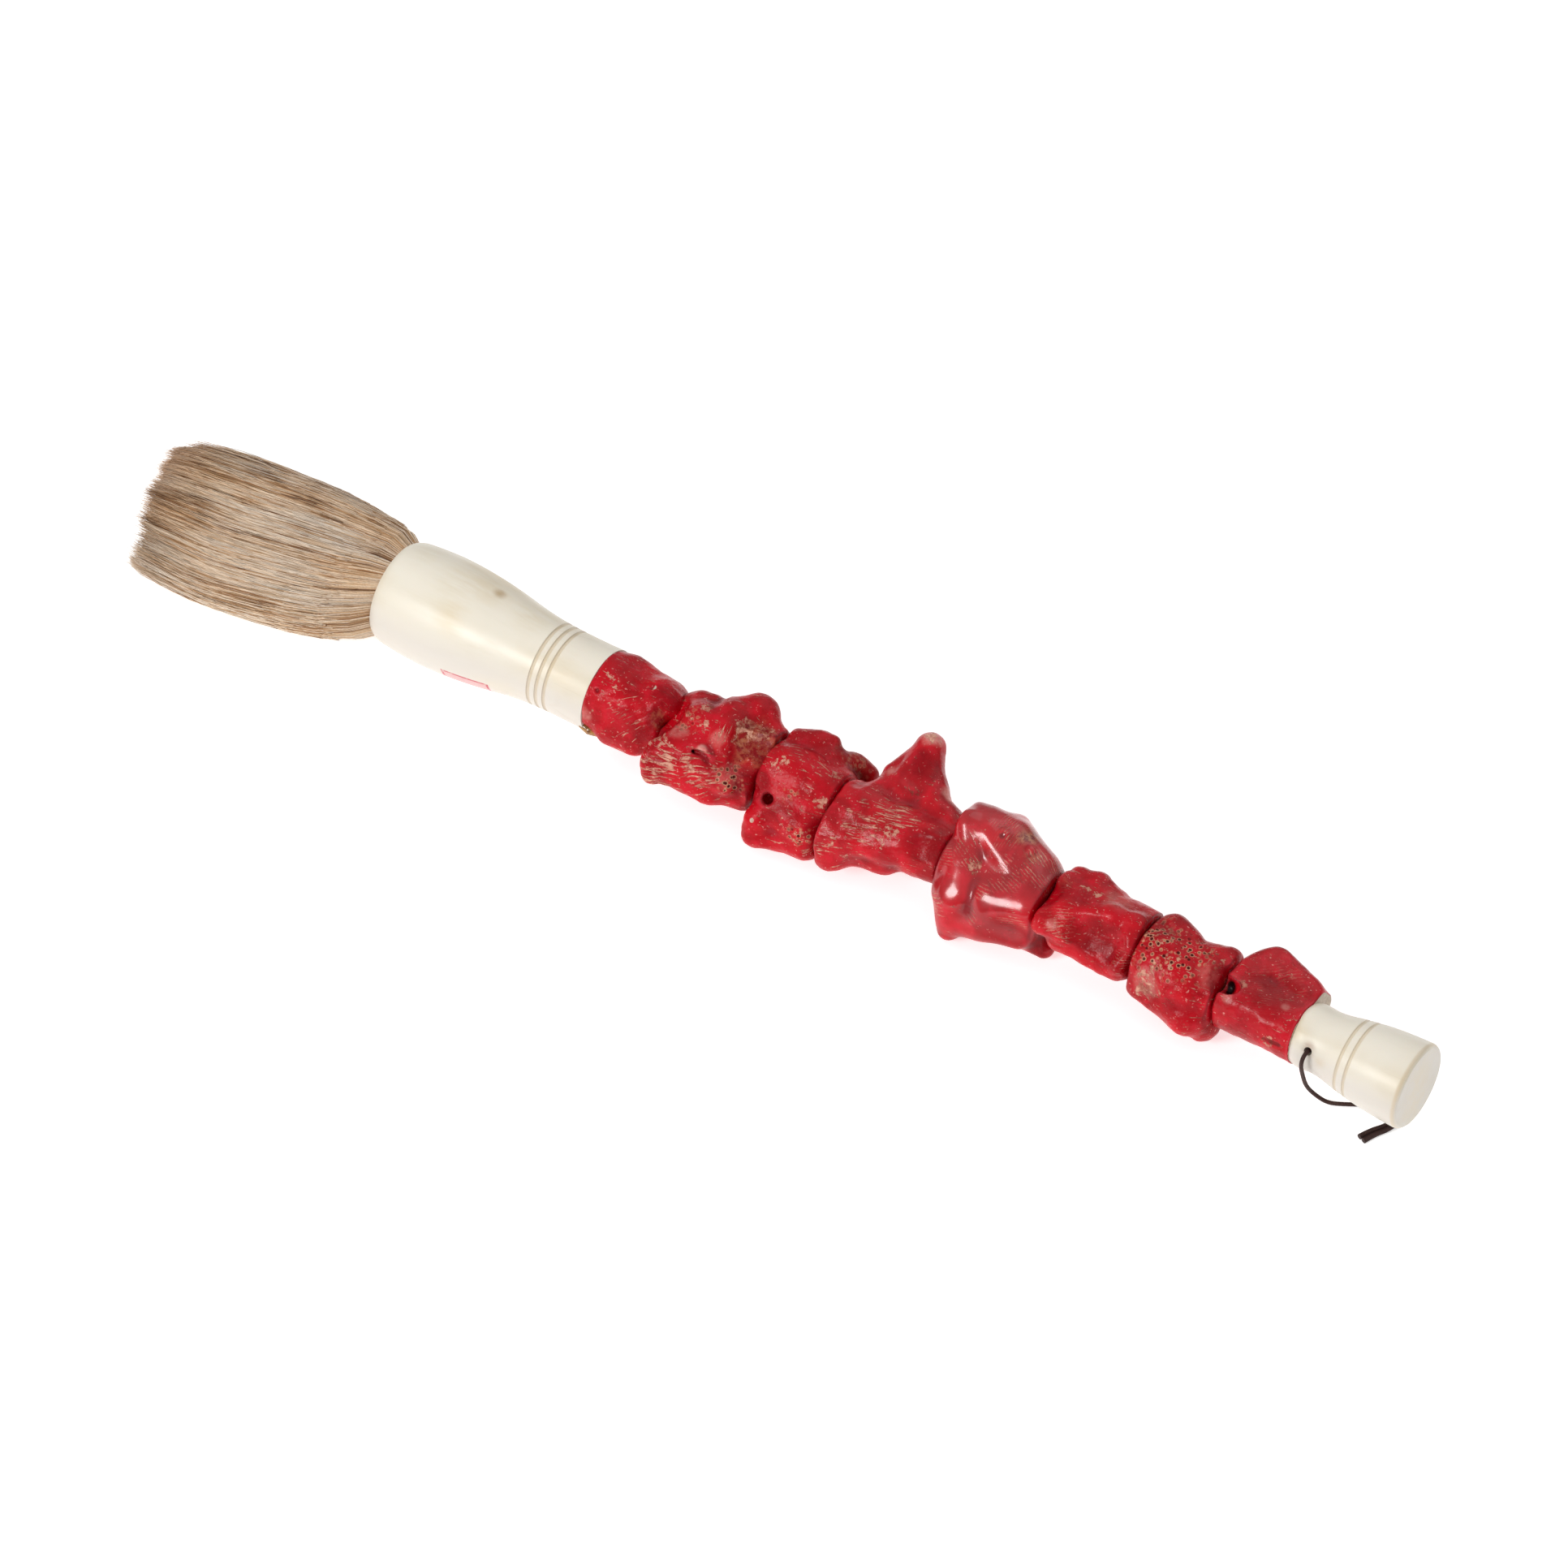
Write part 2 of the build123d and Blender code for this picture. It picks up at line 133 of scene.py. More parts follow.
class Paint:
    """One node-based material, with short names for the nodes that it is made of."""

    def __init__(self, name, **settings):
        self.material = bpy.data.materials.new(name)
        self.material.use_nodes = True
        self.tree = self.material.node_tree
        self.shader = self.tree.nodes["Principled BSDF"]
        for socket, value in settings.items():
            self.set(socket.replace("_", " "), value)

    def set(self, socket, value):
        """Links a socket or a number to one of the shader's inputs."""
        self.plug(self.shader.inputs[socket], value)

    def plug(self, target, value):
        """Links value to target, or sets target to it when it is a plain number."""
        if isinstance(value, bpy.types.NodeSocket):
            self.tree.links.new(value, target)
        else:
            target.default_value = value

    def node(self, kind, inputs, **settings):
        """A node of that kind, with its settings and its inputs by name or number."""
        made = self.tree.nodes.new("ShaderNode" + kind)
        for setting, value in settings.items():
            setattr(made, setting, value)
        for socket, value in inputs.items():
            self.plug(made.inputs[socket], value)
        return made

    def place(self, stretch=(1.0, 1.0, 1.0)):
        """The object's own coordinates in metres, stretched."""
        return self.stretched(self.node("TexCoord", {}).outputs["Object"], stretch)

    def stretched(self, place, stretch):
        """A place multiplied part by part."""
        return self.node("Mapping", {"Vector": place, "Scale": stretch}).outputs[0]

    def noise(self, scale, detail=3.0, rough=0.5, where=None, distort=0.0):
        """Fractal noise from 0 to 1."""
        inputs = {"Scale": scale, "Detail": detail, "Roughness": rough, "Distortion": distort}
        inputs["Vector"] = where or self.place()
        return self.node("TexNoise", inputs).outputs[0]

    def attribute(self, name):
        """A number that the mesh carries at each of its points."""
        return self.node("Attribute", {}, attribute_name=name).outputs["Fac"]

    def span(self, value, low, high, out_low=0.0, out_high=1.0):
        """Value from low to high, smoothly carried over to out_low to out_high."""
        inputs = {"Value": value, "From Min": low, "From Max": high}
        inputs.update({"To Min": out_low, "To Max": out_high})
        return self.node("MapRange", inputs, interpolation_type="SMOOTHSTEP").outputs[0]

    def sum(self, a, b, how="ADD"):
        """Two numbers added, or put together in another way."""
        return self.node("Math", {0: a, 1: b}, operation=how).outputs[0]

    def times(self, a, b):
        """Two numbers multiplied."""
        return self.sum(a, b, "MULTIPLY")

    def most(self, first, *others):
        """The largest of some numbers."""
        for other in others:
            first = self.sum(first, other, "MAXIMUM")
        return first

    def distance(self, a, b):
        """How far two numbers are apart."""
        return self.node("Math", {0: self.sum(a, b, "SUBTRACT")}, operation="ABSOLUTE").outputs[0]

    def rise(self):
        """How far the surface faces up: 1 on top, 0 at the sides and -1 underneath."""
        facing = self.node("NewGeometry", {}).outputs["Normal"]
        return self.node("SeparateXYZ", {"Vector": facing}).outputs[2]

    def mix(self, share, a, b, how="MIX"):
        """Two colours mixed by share."""
        inputs = {0: share, 6: a, 7: b}
        return self.node("Mix", inputs, data_type="RGBA", blend_type=how).outputs[2]

    def bump(self, height, strength, distance, under=None):
        """A bumped normal, on top of another one if there is one."""
        inputs = {"Height": height, "Strength": strength, "Distance": distance}
        if under is not None:
            inputs["Normal"] = under
        return self.node("Bump", inputs).outputs[0]


def rgb(text):
    """A colour from its six hexadecimal digits, as linear light."""
    parts = [int(text[i:i + 2], 16) / 255 for i in (0, 2, 4)]
    return (*[p / 12.92 if p < 0.04 else ((p + 0.055) / 1.055) ** 2.4 for p in parts], 1.0)


def dress(piece, paint):
    """Gives a piece one material all over."""
    piece.data.materials.clear()
    piece.data.materials.append(paint)


# ------------------------------------------------------------------ noise and solid shapes

def smooth_step(value):
    """0 below 0, 1 above 1, and a smooth rise between."""
    value = np.clip(value, 0.0, 1.0)
    return value * value * (3 - 2 * value)


def scatter(cells, seed):
    """A random number from 0 to 1 for each whole-numbered cell, the same each time."""
    cells = cells.astype(np.int64)
    mixed = cells[..., 0] * 73856093 ^ cells[..., 1] * 19349663 ^ cells[..., 2] * 83492791
    mixed = (mixed ^ (seed * 97531 + 12345)) & 0xFFFFFFFF
    mixed = ((mixed ^ (mixed >> 13)) * 1274126177) & 0xFFFFFFFF
    mixed = ((mixed ^ (mixed >> 15)) * 668265263) & 0xFFFFFFFF
    return ((mixed ^ (mixed >> 16)) & 0xFFFFFF) / 0xFFFFFF


def cell_corners(share):
    """Each corner of a grid cell, and its weight for points at those shares of the cell."""
    for corner in np.ndindex(2, 2, 2):
        weight = np.ones(len(share))
        for axis in range(3):
            weight *= share[:, axis] if corner[axis] else 1 - share[:, axis]
        yield corner, weight


def cloud(points, size, seed):
    """Smooth noise from -1 to 1 whose lumps are about size millimetres across."""
    scaled = points / size
    cells = np.floor(scaled)
    total = np.zeros(len(points))
    for corner, weight in cell_corners(smooth_step(scaled - cells)):
        total += weight * scatter(cells + corner, seed)
    return 2 * total - 1


def nearest_seed(points, size, seed):
    """The distance to the nearest of random points, one in each cell of that size."""
    scaled = points / size
    cells = np.floor(scaled)
    best = np.full(len(points), 9.0)
    for offset in np.ndindex(3, 3, 3):
        cell = cells + np.array(offset) - 1
        seeds = np.stack([scatter(cell, seed + axis) for axis in range(3)], 1)
        best = np.minimum(best, np.linalg.norm(cell + seeds - scaled, axis=1))
    return best * size


def chain(points, places):
    """The distance to a run of rounded cones; each place is (x, up, front, radius)."""
    balls = [(spot(*place[:3]), place[3]) for place in places]
    if len(balls) == 1:
        return np.linalg.norm(points - balls[0][0], axis=1) - balls[0][1]
    best = np.full(len(points), np.inf)
    for (start, start_radius), (end, end_radius) in zip(balls, balls[1:]):
        along = end - start
        share = np.clip((points - start) @ along / (along @ along), 0.0, 1.0)
        away = np.linalg.norm(points - start - share[:, None] * along, axis=1)
        best = np.minimum(best, away - start_radius - (end_radius - start_radius) * share)
    return best


def merge(a, b, soft):
    """The union of two shapes with a fillet about soft millimetres wide."""
    share = np.clip(0.5 + 0.5 * (b - a) / soft, 0.0, 1.0)
    return b + (a - b) * share - soft * share * (1 - share)


def carve(a, b, soft):
    """Shape a with shape b cut away, and the cut's edge rounded."""
    return -merge(-a, b, soft)


# ------------------------------------------------------------------ from solid shape to mesh

def nets(field, origin, step):
    """The zero surface of a field on a grid, as points and four-sided faces."""
    shape = np.array(field.shape)
    crossings = []
    for axis in range(3):
        lower = [slice(None)] * 3
        upper = [slice(None)] * 3
        lower[axis], upper[axis] = slice(0, -1), slice(1, None)
        a, b = field[tuple(lower)], field[tuple(upper)]
        edges = np.argwhere((a < 0) != (b < 0))
        near, far = a[tuple(edges.T)], b[tuple(edges.T)]
        places = edges.astype(float)
        places[:, axis] += near / (near - far)
        crossings.append((axis, edges, places, near < 0))
    size = int(np.prod(shape))
    total = np.zeros((size, 3))
    count = np.zeros(size)
    faces = []
    for axis, edges, places, outward in crossings:
        second, third = (axis + 1) % 3, (axis + 2) % 3
        around = []
        for step_second, step_third in ((-1, -1), (0, -1), (0, 0), (-1, 0)):
            cell = edges.copy()
            cell[:, second] += step_second
            cell[:, third] += step_third
            index = np.ravel_multi_index(tuple(cell.T), shape)
            for part in range(3):
                total[:, part] += np.bincount(index, places[:, part], size)
            count += np.bincount(index, minlength=size)
            around.append(index)
        quads = np.stack(around, 1)
        quads[~outward] = quads[~outward][:, ::-1]
        faces.append(quads)
    used = np.flatnonzero(count)
    number = np.zeros(size, int)
    number[used] = np.arange(len(used))
    points = total[used] / count[used][:, None]
    return origin + points * step, number[np.concatenate(faces)]


def sample(field, places):
    """The field's value between its grid points."""
    low = np.clip(np.floor(places).astype(int), 0, np.array(field.shape) - 2)
    total = np.zeros(len(places))
    for corner, weight in cell_corners(places - low):
        total += weight * field[tuple((low + corner).T)]
    return total


def incline(field, places, step):
    """Which way and how fast the field rises at places on its grid."""
    reach = 0.7  # in steps of the grid
    slope = np.zeros_like(places)
    for axis in range(3):
        shift = np.zeros(3)
        shift[axis] = reach
        rise = sample(field, places + shift) - sample(field, places - shift)
        slope[:, axis] = rise / (2 * reach * step)
    return slope


def settle(points, field, origin, step):
    """Moves points onto the field's zero surface in two rounds, so that gloss shows no grid."""
    for _ in range(2):
        places = (points - origin) / step
        slope = incline(field, places, step)
        steep = np.maximum((slope ** 2).sum(1), 0.2)
        move = sample(field, places) / steep
        points = points - np.clip(move, -step, step)[:, None] * slope
    return points


def mesh_piece(name, points, faces, marks=None):
    """A mesh object from points in millimetres, faces of one size, and marks per point."""
    mesh = bpy.data.meshes.new(name)
    sides = faces.shape[1]
    mesh.vertices.add(len(points))
    mesh.vertices.foreach_set("co", (points * MM).astype(np.float32).ravel())
    mesh.loops.add(faces.size)
    mesh.loops.foreach_set("vertex_index", faces.astype(np.int32).ravel())
    mesh.polygons.add(len(faces))
    mesh.polygons.foreach_set("loop_start", np.arange(0, faces.size, sides, dtype=np.int32))
    mesh.polygons.foreach_set("use_smooth", np.ones(len(faces), bool))
    mesh.update(calc_edges=True)
    for mark, values in (marks or {}).items():
        layer = mesh.attributes.new(mark, "FLOAT", "POINT")
        layer.data.foreach_set("value", np.asarray(values, np.float32))
    mesh.validate()
    return add_object(name, mesh)


def solid_mesh(shape, low, high, voxel, relief=None):
    """The surface of a solid shape, its faces, and the plain field that it comes from."""
    counts = np.ceil((high - low) / voxel).astype(int) + 1
    axes = [low[part] + voxel * np.arange(counts[part]) for part in range(3)]
    points = np.stack(np.meshgrid(*axes, indexing="ij"), -1).reshape(-1, 3)
    field = shape(points)
    plain = field.reshape(counts).copy()
    if relief is not None:
        near = np.abs(field) < RELIEF_BAND
        field[near] += relief(points[near])
    field = field.reshape(counts)
    surface, faces = nets(field, low, voxel)
    return settle(surface, field, low, voxel), faces, plain


# ------------------------------------------------------------------ hanging cord

# The loop's line, the same as the CAD cord's.
CORD_ROUTE = (
    (203.0, -1.6, 1.4),
    (198.6, -0.8, 0.8),
    (194.4, -1.4, 0.7),
    (190.0, -4.2, 0.75),
    (185.8, -6.6, 0.9),
    (182.2, -7.8, 3.4),
    (180.3, -9.5, 7.4),
    (179.9, -11.0, 13.2),
    (179.75, -12.2, 18.6),
    (179.7, -10.0, 21.2),
    (179.65, -5.0, 18.8),
    (179.75, 4.6, 14.5),
    (179.7, 10.1, 11.9),
    (180.2, 11.8, 8.6),
    (182.4, 11.4, 3.6),
    (186.4, 9.4, 0.9),
    (192.0, 6.6, 0.7),
    (197.6, 3.2, 0.75),
    (203.4, 0.4, 1.4),
)
TAIL_ROUTES = (
    ((204.6, -1.6, 1.4), (203.4, -4.6, 0.8), (200.6, -8.4, 0.66), (199.2, -12.0, 0.62)),
    ((205.8, -2.2, 1.4), (204.8, -5.2, 0.8), (202.2, -9.0, 0.66), (200.9, -12.6, 0.62)),
)
CORD_DIAMETER = 1.2


def cord_paint():
    """Dark brown waxed cord, with the fine twist of its two strands."""
    paint = Paint("waxed_cord", Roughness=0.55, Specular_IOR_Level=0.35)
    along = paint.node("TexCoord", {}).outputs["UV"]
    twist = paint.stretched(along, (60.0, 2.0, 1.0))
    ribs = paint.node("TexWave", {"Vector": twist, "Scale": 1.0, "Distortion": 0.6}).outputs[1]
    fuzz = paint.noise(2200.0)
    paint.set("Base Color", paint.mix(fuzz, rgb("1f0f0c"), rgb("47241b")))
    paint.set("Normal", paint.bump(paint.sum(ribs, fuzz), 0.5, 0.00015))
    return paint.material


def cord_piece(name, routes, diameter, closed=False, spread=0.0):
    """A round cord along each route of points in millimetres, as a curve. Spread is about how
    much wider each route's last point is than its first."""
    curve = bpy.data.curves.new(name, "CURVE")
    curve.dimensions = "3D"
    curve.bevel_depth = diameter / 2 * MM
    curve.bevel_resolution = 5
    curve.resolution_u = 10
    curve.use_fill_caps = not closed
    for route in routes:
        spline = curve.splines.new("NURBS")
        spline.points.add(len(route) - 1)
        for step, (point, place) in enumerate(zip(spline.points, route)):
            point.co = (*[part * MM for part in place], 1.0)
            point.radius = 1.0 + spread * step / len(route)
        spline.order_u = 3
        spline.use_cyclic_u = closed
        spline.use_endpoint_u = not closed
    return add_object(name, curve)


def knot_route(node):
    """A flattened overhand knot that fills the node's box."""
    low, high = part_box(node)
    middle = (low + high) / 2 / MM
    reach = (high - low) / 2 / MM - Vector.Fill(3, CORD_DIAMETER / 2)
    turns = np.linspace(0, 2 * pi, 40, endpoint=False)
    across = (np.sin(turns) + 2 * np.sin(2 * turns)) / 2.9
    along = (np.cos(turns) - 2 * np.cos(2 * turns)) / 2.9
    height = -np.sin(3 * turns)
    shape = zip(along * reach.x, across * reach.y, height * reach.z)
    return [(middle.x + x, middle.y + y, middle.z + z) for x, y, z in shape]


def add_cord():
    """The free loop of cord through the cap, its knot and its two cut tails."""
    loop = cord_piece("cord_loop", [CORD_ROUTE], CORD_DIAMETER)
    knot = cord_piece("cord_overhand_knot", [knot_route("cord_knot")], CORD_DIAMETER, closed=True)
    tails = cord_piece("cord_cut_tails", TAIL_ROUTES, CORD_DIAMETER, spread=0.5)
    paint = cord_paint()
    for piece, node in ((loop, "hanging_cord"), (knot, "cord_knot"), (tails, "cord_tails")):
        dress(piece, paint)
        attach(piece, "handle")
        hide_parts(node)


# ------------------------------------------------------------------ red vertebra beads

VOXEL = 0.32
BORE_RADIUS = 3.05
UNWRAP_RADIUS = 10.0  # angles round the brush's axis are laid flat at this radius
RELIEF_BAND = 1.8  # how far from the plain surface the relief is worked out
END_ROUNDING = 1.3
TABLE_GAP = 0.1  # between the lowest bone and the table
PROBE = 1.4  # how far from the surface hollows and edges are felt
# Kinds of patch: wear, pale places, pores, bare bone, stains, painted shade and two kinds of fine
# lines.
PATCH_KINDS = ("worn", "pale", "pores", "raw", "earth", "painted_shade", "striae", "scores")
SCORE_PITCH = 0.8  # between the fine lines scored in the bone


def grain_plane(points):
    """The surface laid flat: the station, and the way round from the front, in millimetres."""
    offset = points - np.array([0.0, 0.0, AXIS_Z])
    turn = np.arctan2(offset @ UP, offset @ FRONT)
    return np.stack([points[:, 0], UNWRAP_RADIUS * turn], 1)


class Bone:
    """One vertebra bead: a waisted drum of bone with lumps, cuts and patches of wear.

    Its places are (x, up, front, radius), and x counts from the bead's near end. The drum's
    radii are those at its near end, waist and far end."""

    def __init__(self, number, radii, length=None, lift=0.0, early=0.0, gloss=0.12,
                 bare_end=False, rounding=(END_ROUNDING, END_ROUNDING)):
        self.node = f"vertebra_bead_{number}"
        self.seed = 100 * number
        start, end = ends(self.node)
        self.start = start - early
        self.length = length or end - self.start
        self.radii = radii
        self.lift = lift
        self.gloss = gloss
        self.bare_end = bare_end
        self.rounding = rounding
        self.facets = []
        self.shapes = []
        self.overhang = []
        self.cuts = []
        self.patches = {kind: [] for kind in PATCH_KINDS}

    def moved(self, places):
        """Places with their stations counted from the brush's middle."""
        return [(place[0] + self.start, *place[1:]) for place in places]

    def lump(self, *places, soft=2.4):
        """A rounded mass of bone that flows into the drum."""
        self.shapes.append((soft, self.moved(places)))

    def ridge(self, *places):
        """A crisper mass of bone, such as a ridge or a spur."""
        self.lump(*places, soft=1.2)

    def overhanging(self, *places, soft=2.4):
        """A mass that reaches past the bead's flat end."""
        self.overhang.append((soft, self.moved(places)))

    def cut(self, *places, soft=0.8):
        """A hollow, slot or pit cut into the bone."""
        self.cuts.append((soft, self.moved(places)))

    def facet(self, x, up, front, distance, soft=2.5):
        """A flat cut across the direction (x, up, front), at a distance from the axis."""
        direction = np.array([x, 0, 0]) + up * UP + front * FRONT
        self.facets.append((direction, distance, soft))

    def patch(self, kind, *places):
        """Patches of the surface where wear, pores or painted shade are strong; each place has a
        radius and an amount after it."""
        for x, up, front, radius, amount in places:
            self.patches[kind].append((spot(self.start + x, up, front), radius, amount))

    def striae(self, *places, kind="striae"):
        """Patches of broken lines. After a place's radius come the x and the way round of the
        point that its lines run out from, and the amount."""
        for x, up, front, radius, source_x, source_round, amount in places:
            origin = np.array([self.start + source_x, source_round])
            self.patches[kind].append((spot(self.start + x, up, front), radius, amount, origin))

    def scores(self, *places):
        """Patches of fine, even lines."""
        self.striae(*places, kind="scores")

    def weight(self, points, kind):
        """How strongly each point is in a patch of that kind, from 0 to 1."""
        total = np.zeros(len(points))
        ragged = 0.35 * cloud(points, 2.6, self.seed + 6)
        for centre, radius, amount, *_ in self.patches[kind]:
            away = np.linalg.norm(points - centre, axis=1) / radius + ragged
            total = np.maximum(total, amount * smooth_step(1.2 * (1.35 - away)))
        return total

    def grain(self, points):
        """Where each point is across and along the bone's fine lines, in millimetres."""
        flat = grain_plane(points)
        across, along = flat[:, 1].copy(), flat[:, 0].copy()
        best = np.full(len(points), 0.05)
        for centre, radius, amount, origin in self.patches["striae"] + self.patches["scores"]:
            away = np.linalg.norm(points - centre, axis=1) / radius
            weight = amount * smooth_step(1.6 * (1.4 - away))
            inside = weight > best
            best[inside] = weight[inside]
            ray = flat[inside] - origin
            middle = grain_plane(centre[None, :])[0] - origin
            turn = np.arctan2(middle[0] * ray[:, 1] - middle[1] * ray[:, 0], ray @ middle)
            across[inside] = turn * np.linalg.norm(middle)
            along[inside] = np.linalg.norm(ray, axis=1)
        return across, along

    def drum_shape(self, points):
        """The distance to the waisted drum."""
        first, waist, last = self.radii
        share = np.clip((points[:, 0] - self.start) / self.length, -0.2, 1.2)
        ends_part = first * (1 - share) * (1 - 2 * share) + last * share * (2 * share - 1)
        radius = ends_part + 4 * waist * share * (1 - share)
        offset = points - spot(0.0, self.lift, 0.0)
        return np.hypot(offset[:, 1], offset[:, 2]) - radius

    def shape(self, points):
        """The distance to the bead without its fine relief."""
        x = points[:, 0]
        body = self.drum_shape(points)
        for soft, places in self.shapes:
            body = merge(body, chain(points, places), soft)
        body = carve(body, x - self.start, self.rounding[0])
        body = carve(body, self.start + self.length - x, self.rounding[1])
        for soft, places in self.overhang:
            body = merge(body, chain(points, places), soft)
        for direction, distance, soft in self.facets:
            height = (points - spot(self.start, 0, 0)) @ direction
            body = carve(body, distance - height, soft)
        for soft, places in self.cuts:
            body = carve(body, chain(points, places), soft)
        axis_offset = points[:, 1:] - np.array([0.0, AXIS_Z])
        body = carve(body, np.linalg.norm(axis_offset, axis=1) - BORE_RADIUS, 0.3)
        return carve(body, points[:, 2] - TABLE_GAP, 0.3)

    def relief(self, points):
        """How deep the surface lies under the plain shape."""
        across, along = self.grain(points)
        lines = cloud(np.stack([across / 0.9, along / 5.0, 0 * along], 1), 1.0, self.seed + 3)
        pits = smooth_step(1.0 - nearest_seed(points, 1.6, self.seed + 4) / 0.55)
        calm = 1.0 - 0.85 * self.gloss
        depth = 0.42 * calm * cloud(points, 5.5, self.seed + 1)
        depth += 0.16 * calm * cloud(points, 2.1, self.seed + 2)
        depth += calm * (0.05 + 0.22 * self.weight(points, "striae")) * lines
        depth += 0.4 * self.weight(points, "pores") * pits
        return depth

    def reach(self):
        """The lowest and highest corner of all that the bead can fill."""
        room = 1.2  # for relief and fillets
        places = [place for _, run in self.shapes + self.overhang for place in run]
        centres = np.array([spot(*place[:3]) for place in places])
        sizes = np.array([[place[3]] * 3 for place in places]) + room
        wide = max(self.radii) + abs(self.lift) + room
        low = np.minimum((centres - sizes).min(0), [self.start, -wide, AXIS_Z - wide])
        high = np.maximum((centres + sizes).max(0), [self.start, wide, AXIS_Z + wide])
        low[0] = max(low[0], self.start - 1.0)
        low[2] = max(low[2], -1.0)
        far_ends = [place[0] + place[3] for _, run in self.overhang for place in run]
        high[0] = max([ends(self.node)[1]] + far_ends) + 1.0
        high[2] += 0.5
        return low, high

    def build(self, paint):
        """The bead's mesh, worked out from its solid shape on a fine grid."""
        low, high = self.reach()
        surface, faces, plain = solid_mesh(self.shape, low, high, VOXEL, self.relief)
        piece = mesh_piece(f"red_bone_bead_{self.node[-1]}", surface, faces,
                           self.marks(surface, plain, low))
        dress(piece, paint)
        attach(piece, "handle")
        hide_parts(self.node)

    def marks(self, surface, plain, low):
        """What the paint needs to know at each point of the surface."""
        normal = incline(plain, (surface - low) / VOXEL, VOXEL)
        normal /= np.maximum(np.linalg.norm(normal, axis=1), 1e-6)[:, None]
        outside = sample(plain, (surface + PROBE * normal - low) / VOXEL)
        inside = sample(plain, (surface - PROBE * normal - low) / VOXEL)
        level = sample(plain, (surface - low) / VOXEL)
        marks = {kind: self.weight(surface, kind) for kind in PATCH_KINDS}
        if self.bare_end:
            end_face = surface[:, 0] > self.start + self.length - 0.3
            facing_out = smooth_step((normal[:, 0] - 0.8) / 0.15)
            marks["raw"] = np.maximum(marks["raw"], end_face * facing_out)
        # How hollow each point is, for the painted shade in hollows, and how much it is an edge.
        marks["hollow"] = np.clip((PROBE + level - outside) / 0.5, 0, 1)
        marks["edge"] = np.clip((PROBE - level + inside) / 0.6, 0, 1)
        marks["across"], marks["along"] = self.grain(surface)
        return marks


def bead_1():
    """A plain round bead with a slot near its top and one broken corner."""
    bone = Bone(1, (12.2, 11.3, 9.4), early=1.1, rounding=(0.5, END_ROUNDING))
    bone.lump((4.8, 6.9, 0, 6.1), (12.6, 5.2, 0, 5.8), (18.6, 5.6, 0, 5.2))
    bone.lump((7.8, -7.3, 1, 6.4), (14.2, -7.4, 1, 6.1))
    bone.lump((4.8, 0, 6.3, 5.8), (13.6, -1, 6.2, 5.5))
    bone.cut((11.8, 6.2, 10.4, 0.7), (14.4, 6.6, 10.2, 0.7))
    bone.cut((14.6, 6.9, 10.3, 1.1), (16.4, 7.1, 10, 1.0))
    bone.cut((3.2, -1, 12.8, 0.7))
    bone.cut((-0.4, -12.8, 2.4, 2.2), (3.4, -13.6, 1.4, 1.6))
    bone.overhanging((18, 5, 4.6, 5.4), (21.2, 4.4, 6.4, 4.4))
    bone.cut((25.5, 1, 14.4, 5.4), soft=2.4)
    bone.cut((17, -4, 15.4, 4.2), soft=2.4)
    bone.patch("raw", (15.4, 6.9, 10, 0.9, 0.8), (16.8, 7.1, 10, 0.9, 0.8))
    bone.patch("earth", (22.4, -0.5, 9, 2.2, 0.9))
    bone.patch("worn", (5.5, 2.5, 11, 3.4, 0.4), (1.6, -8, 9, 4.0, 0.4))
    bone.patch("pale", (-0.4, -8, 8.4, 3.4, 0.5))
    # Painted shade: darker red where shade falls on this bead's far end and front.
    bone.patch("painted_shade", (22, 6, 8, 4.4, 0.9), (22, -1, 9.4, 3.6, 0.9), (20.6, -7, 8.4, 3.4, 0.8),
               (13, -5, 11, 4.4, 0.4), (4, 8, 7, 4.4, 0.4))
    bone.striae((14, -4, 11, 6.5, 36, 16, 0.4))
    return bone


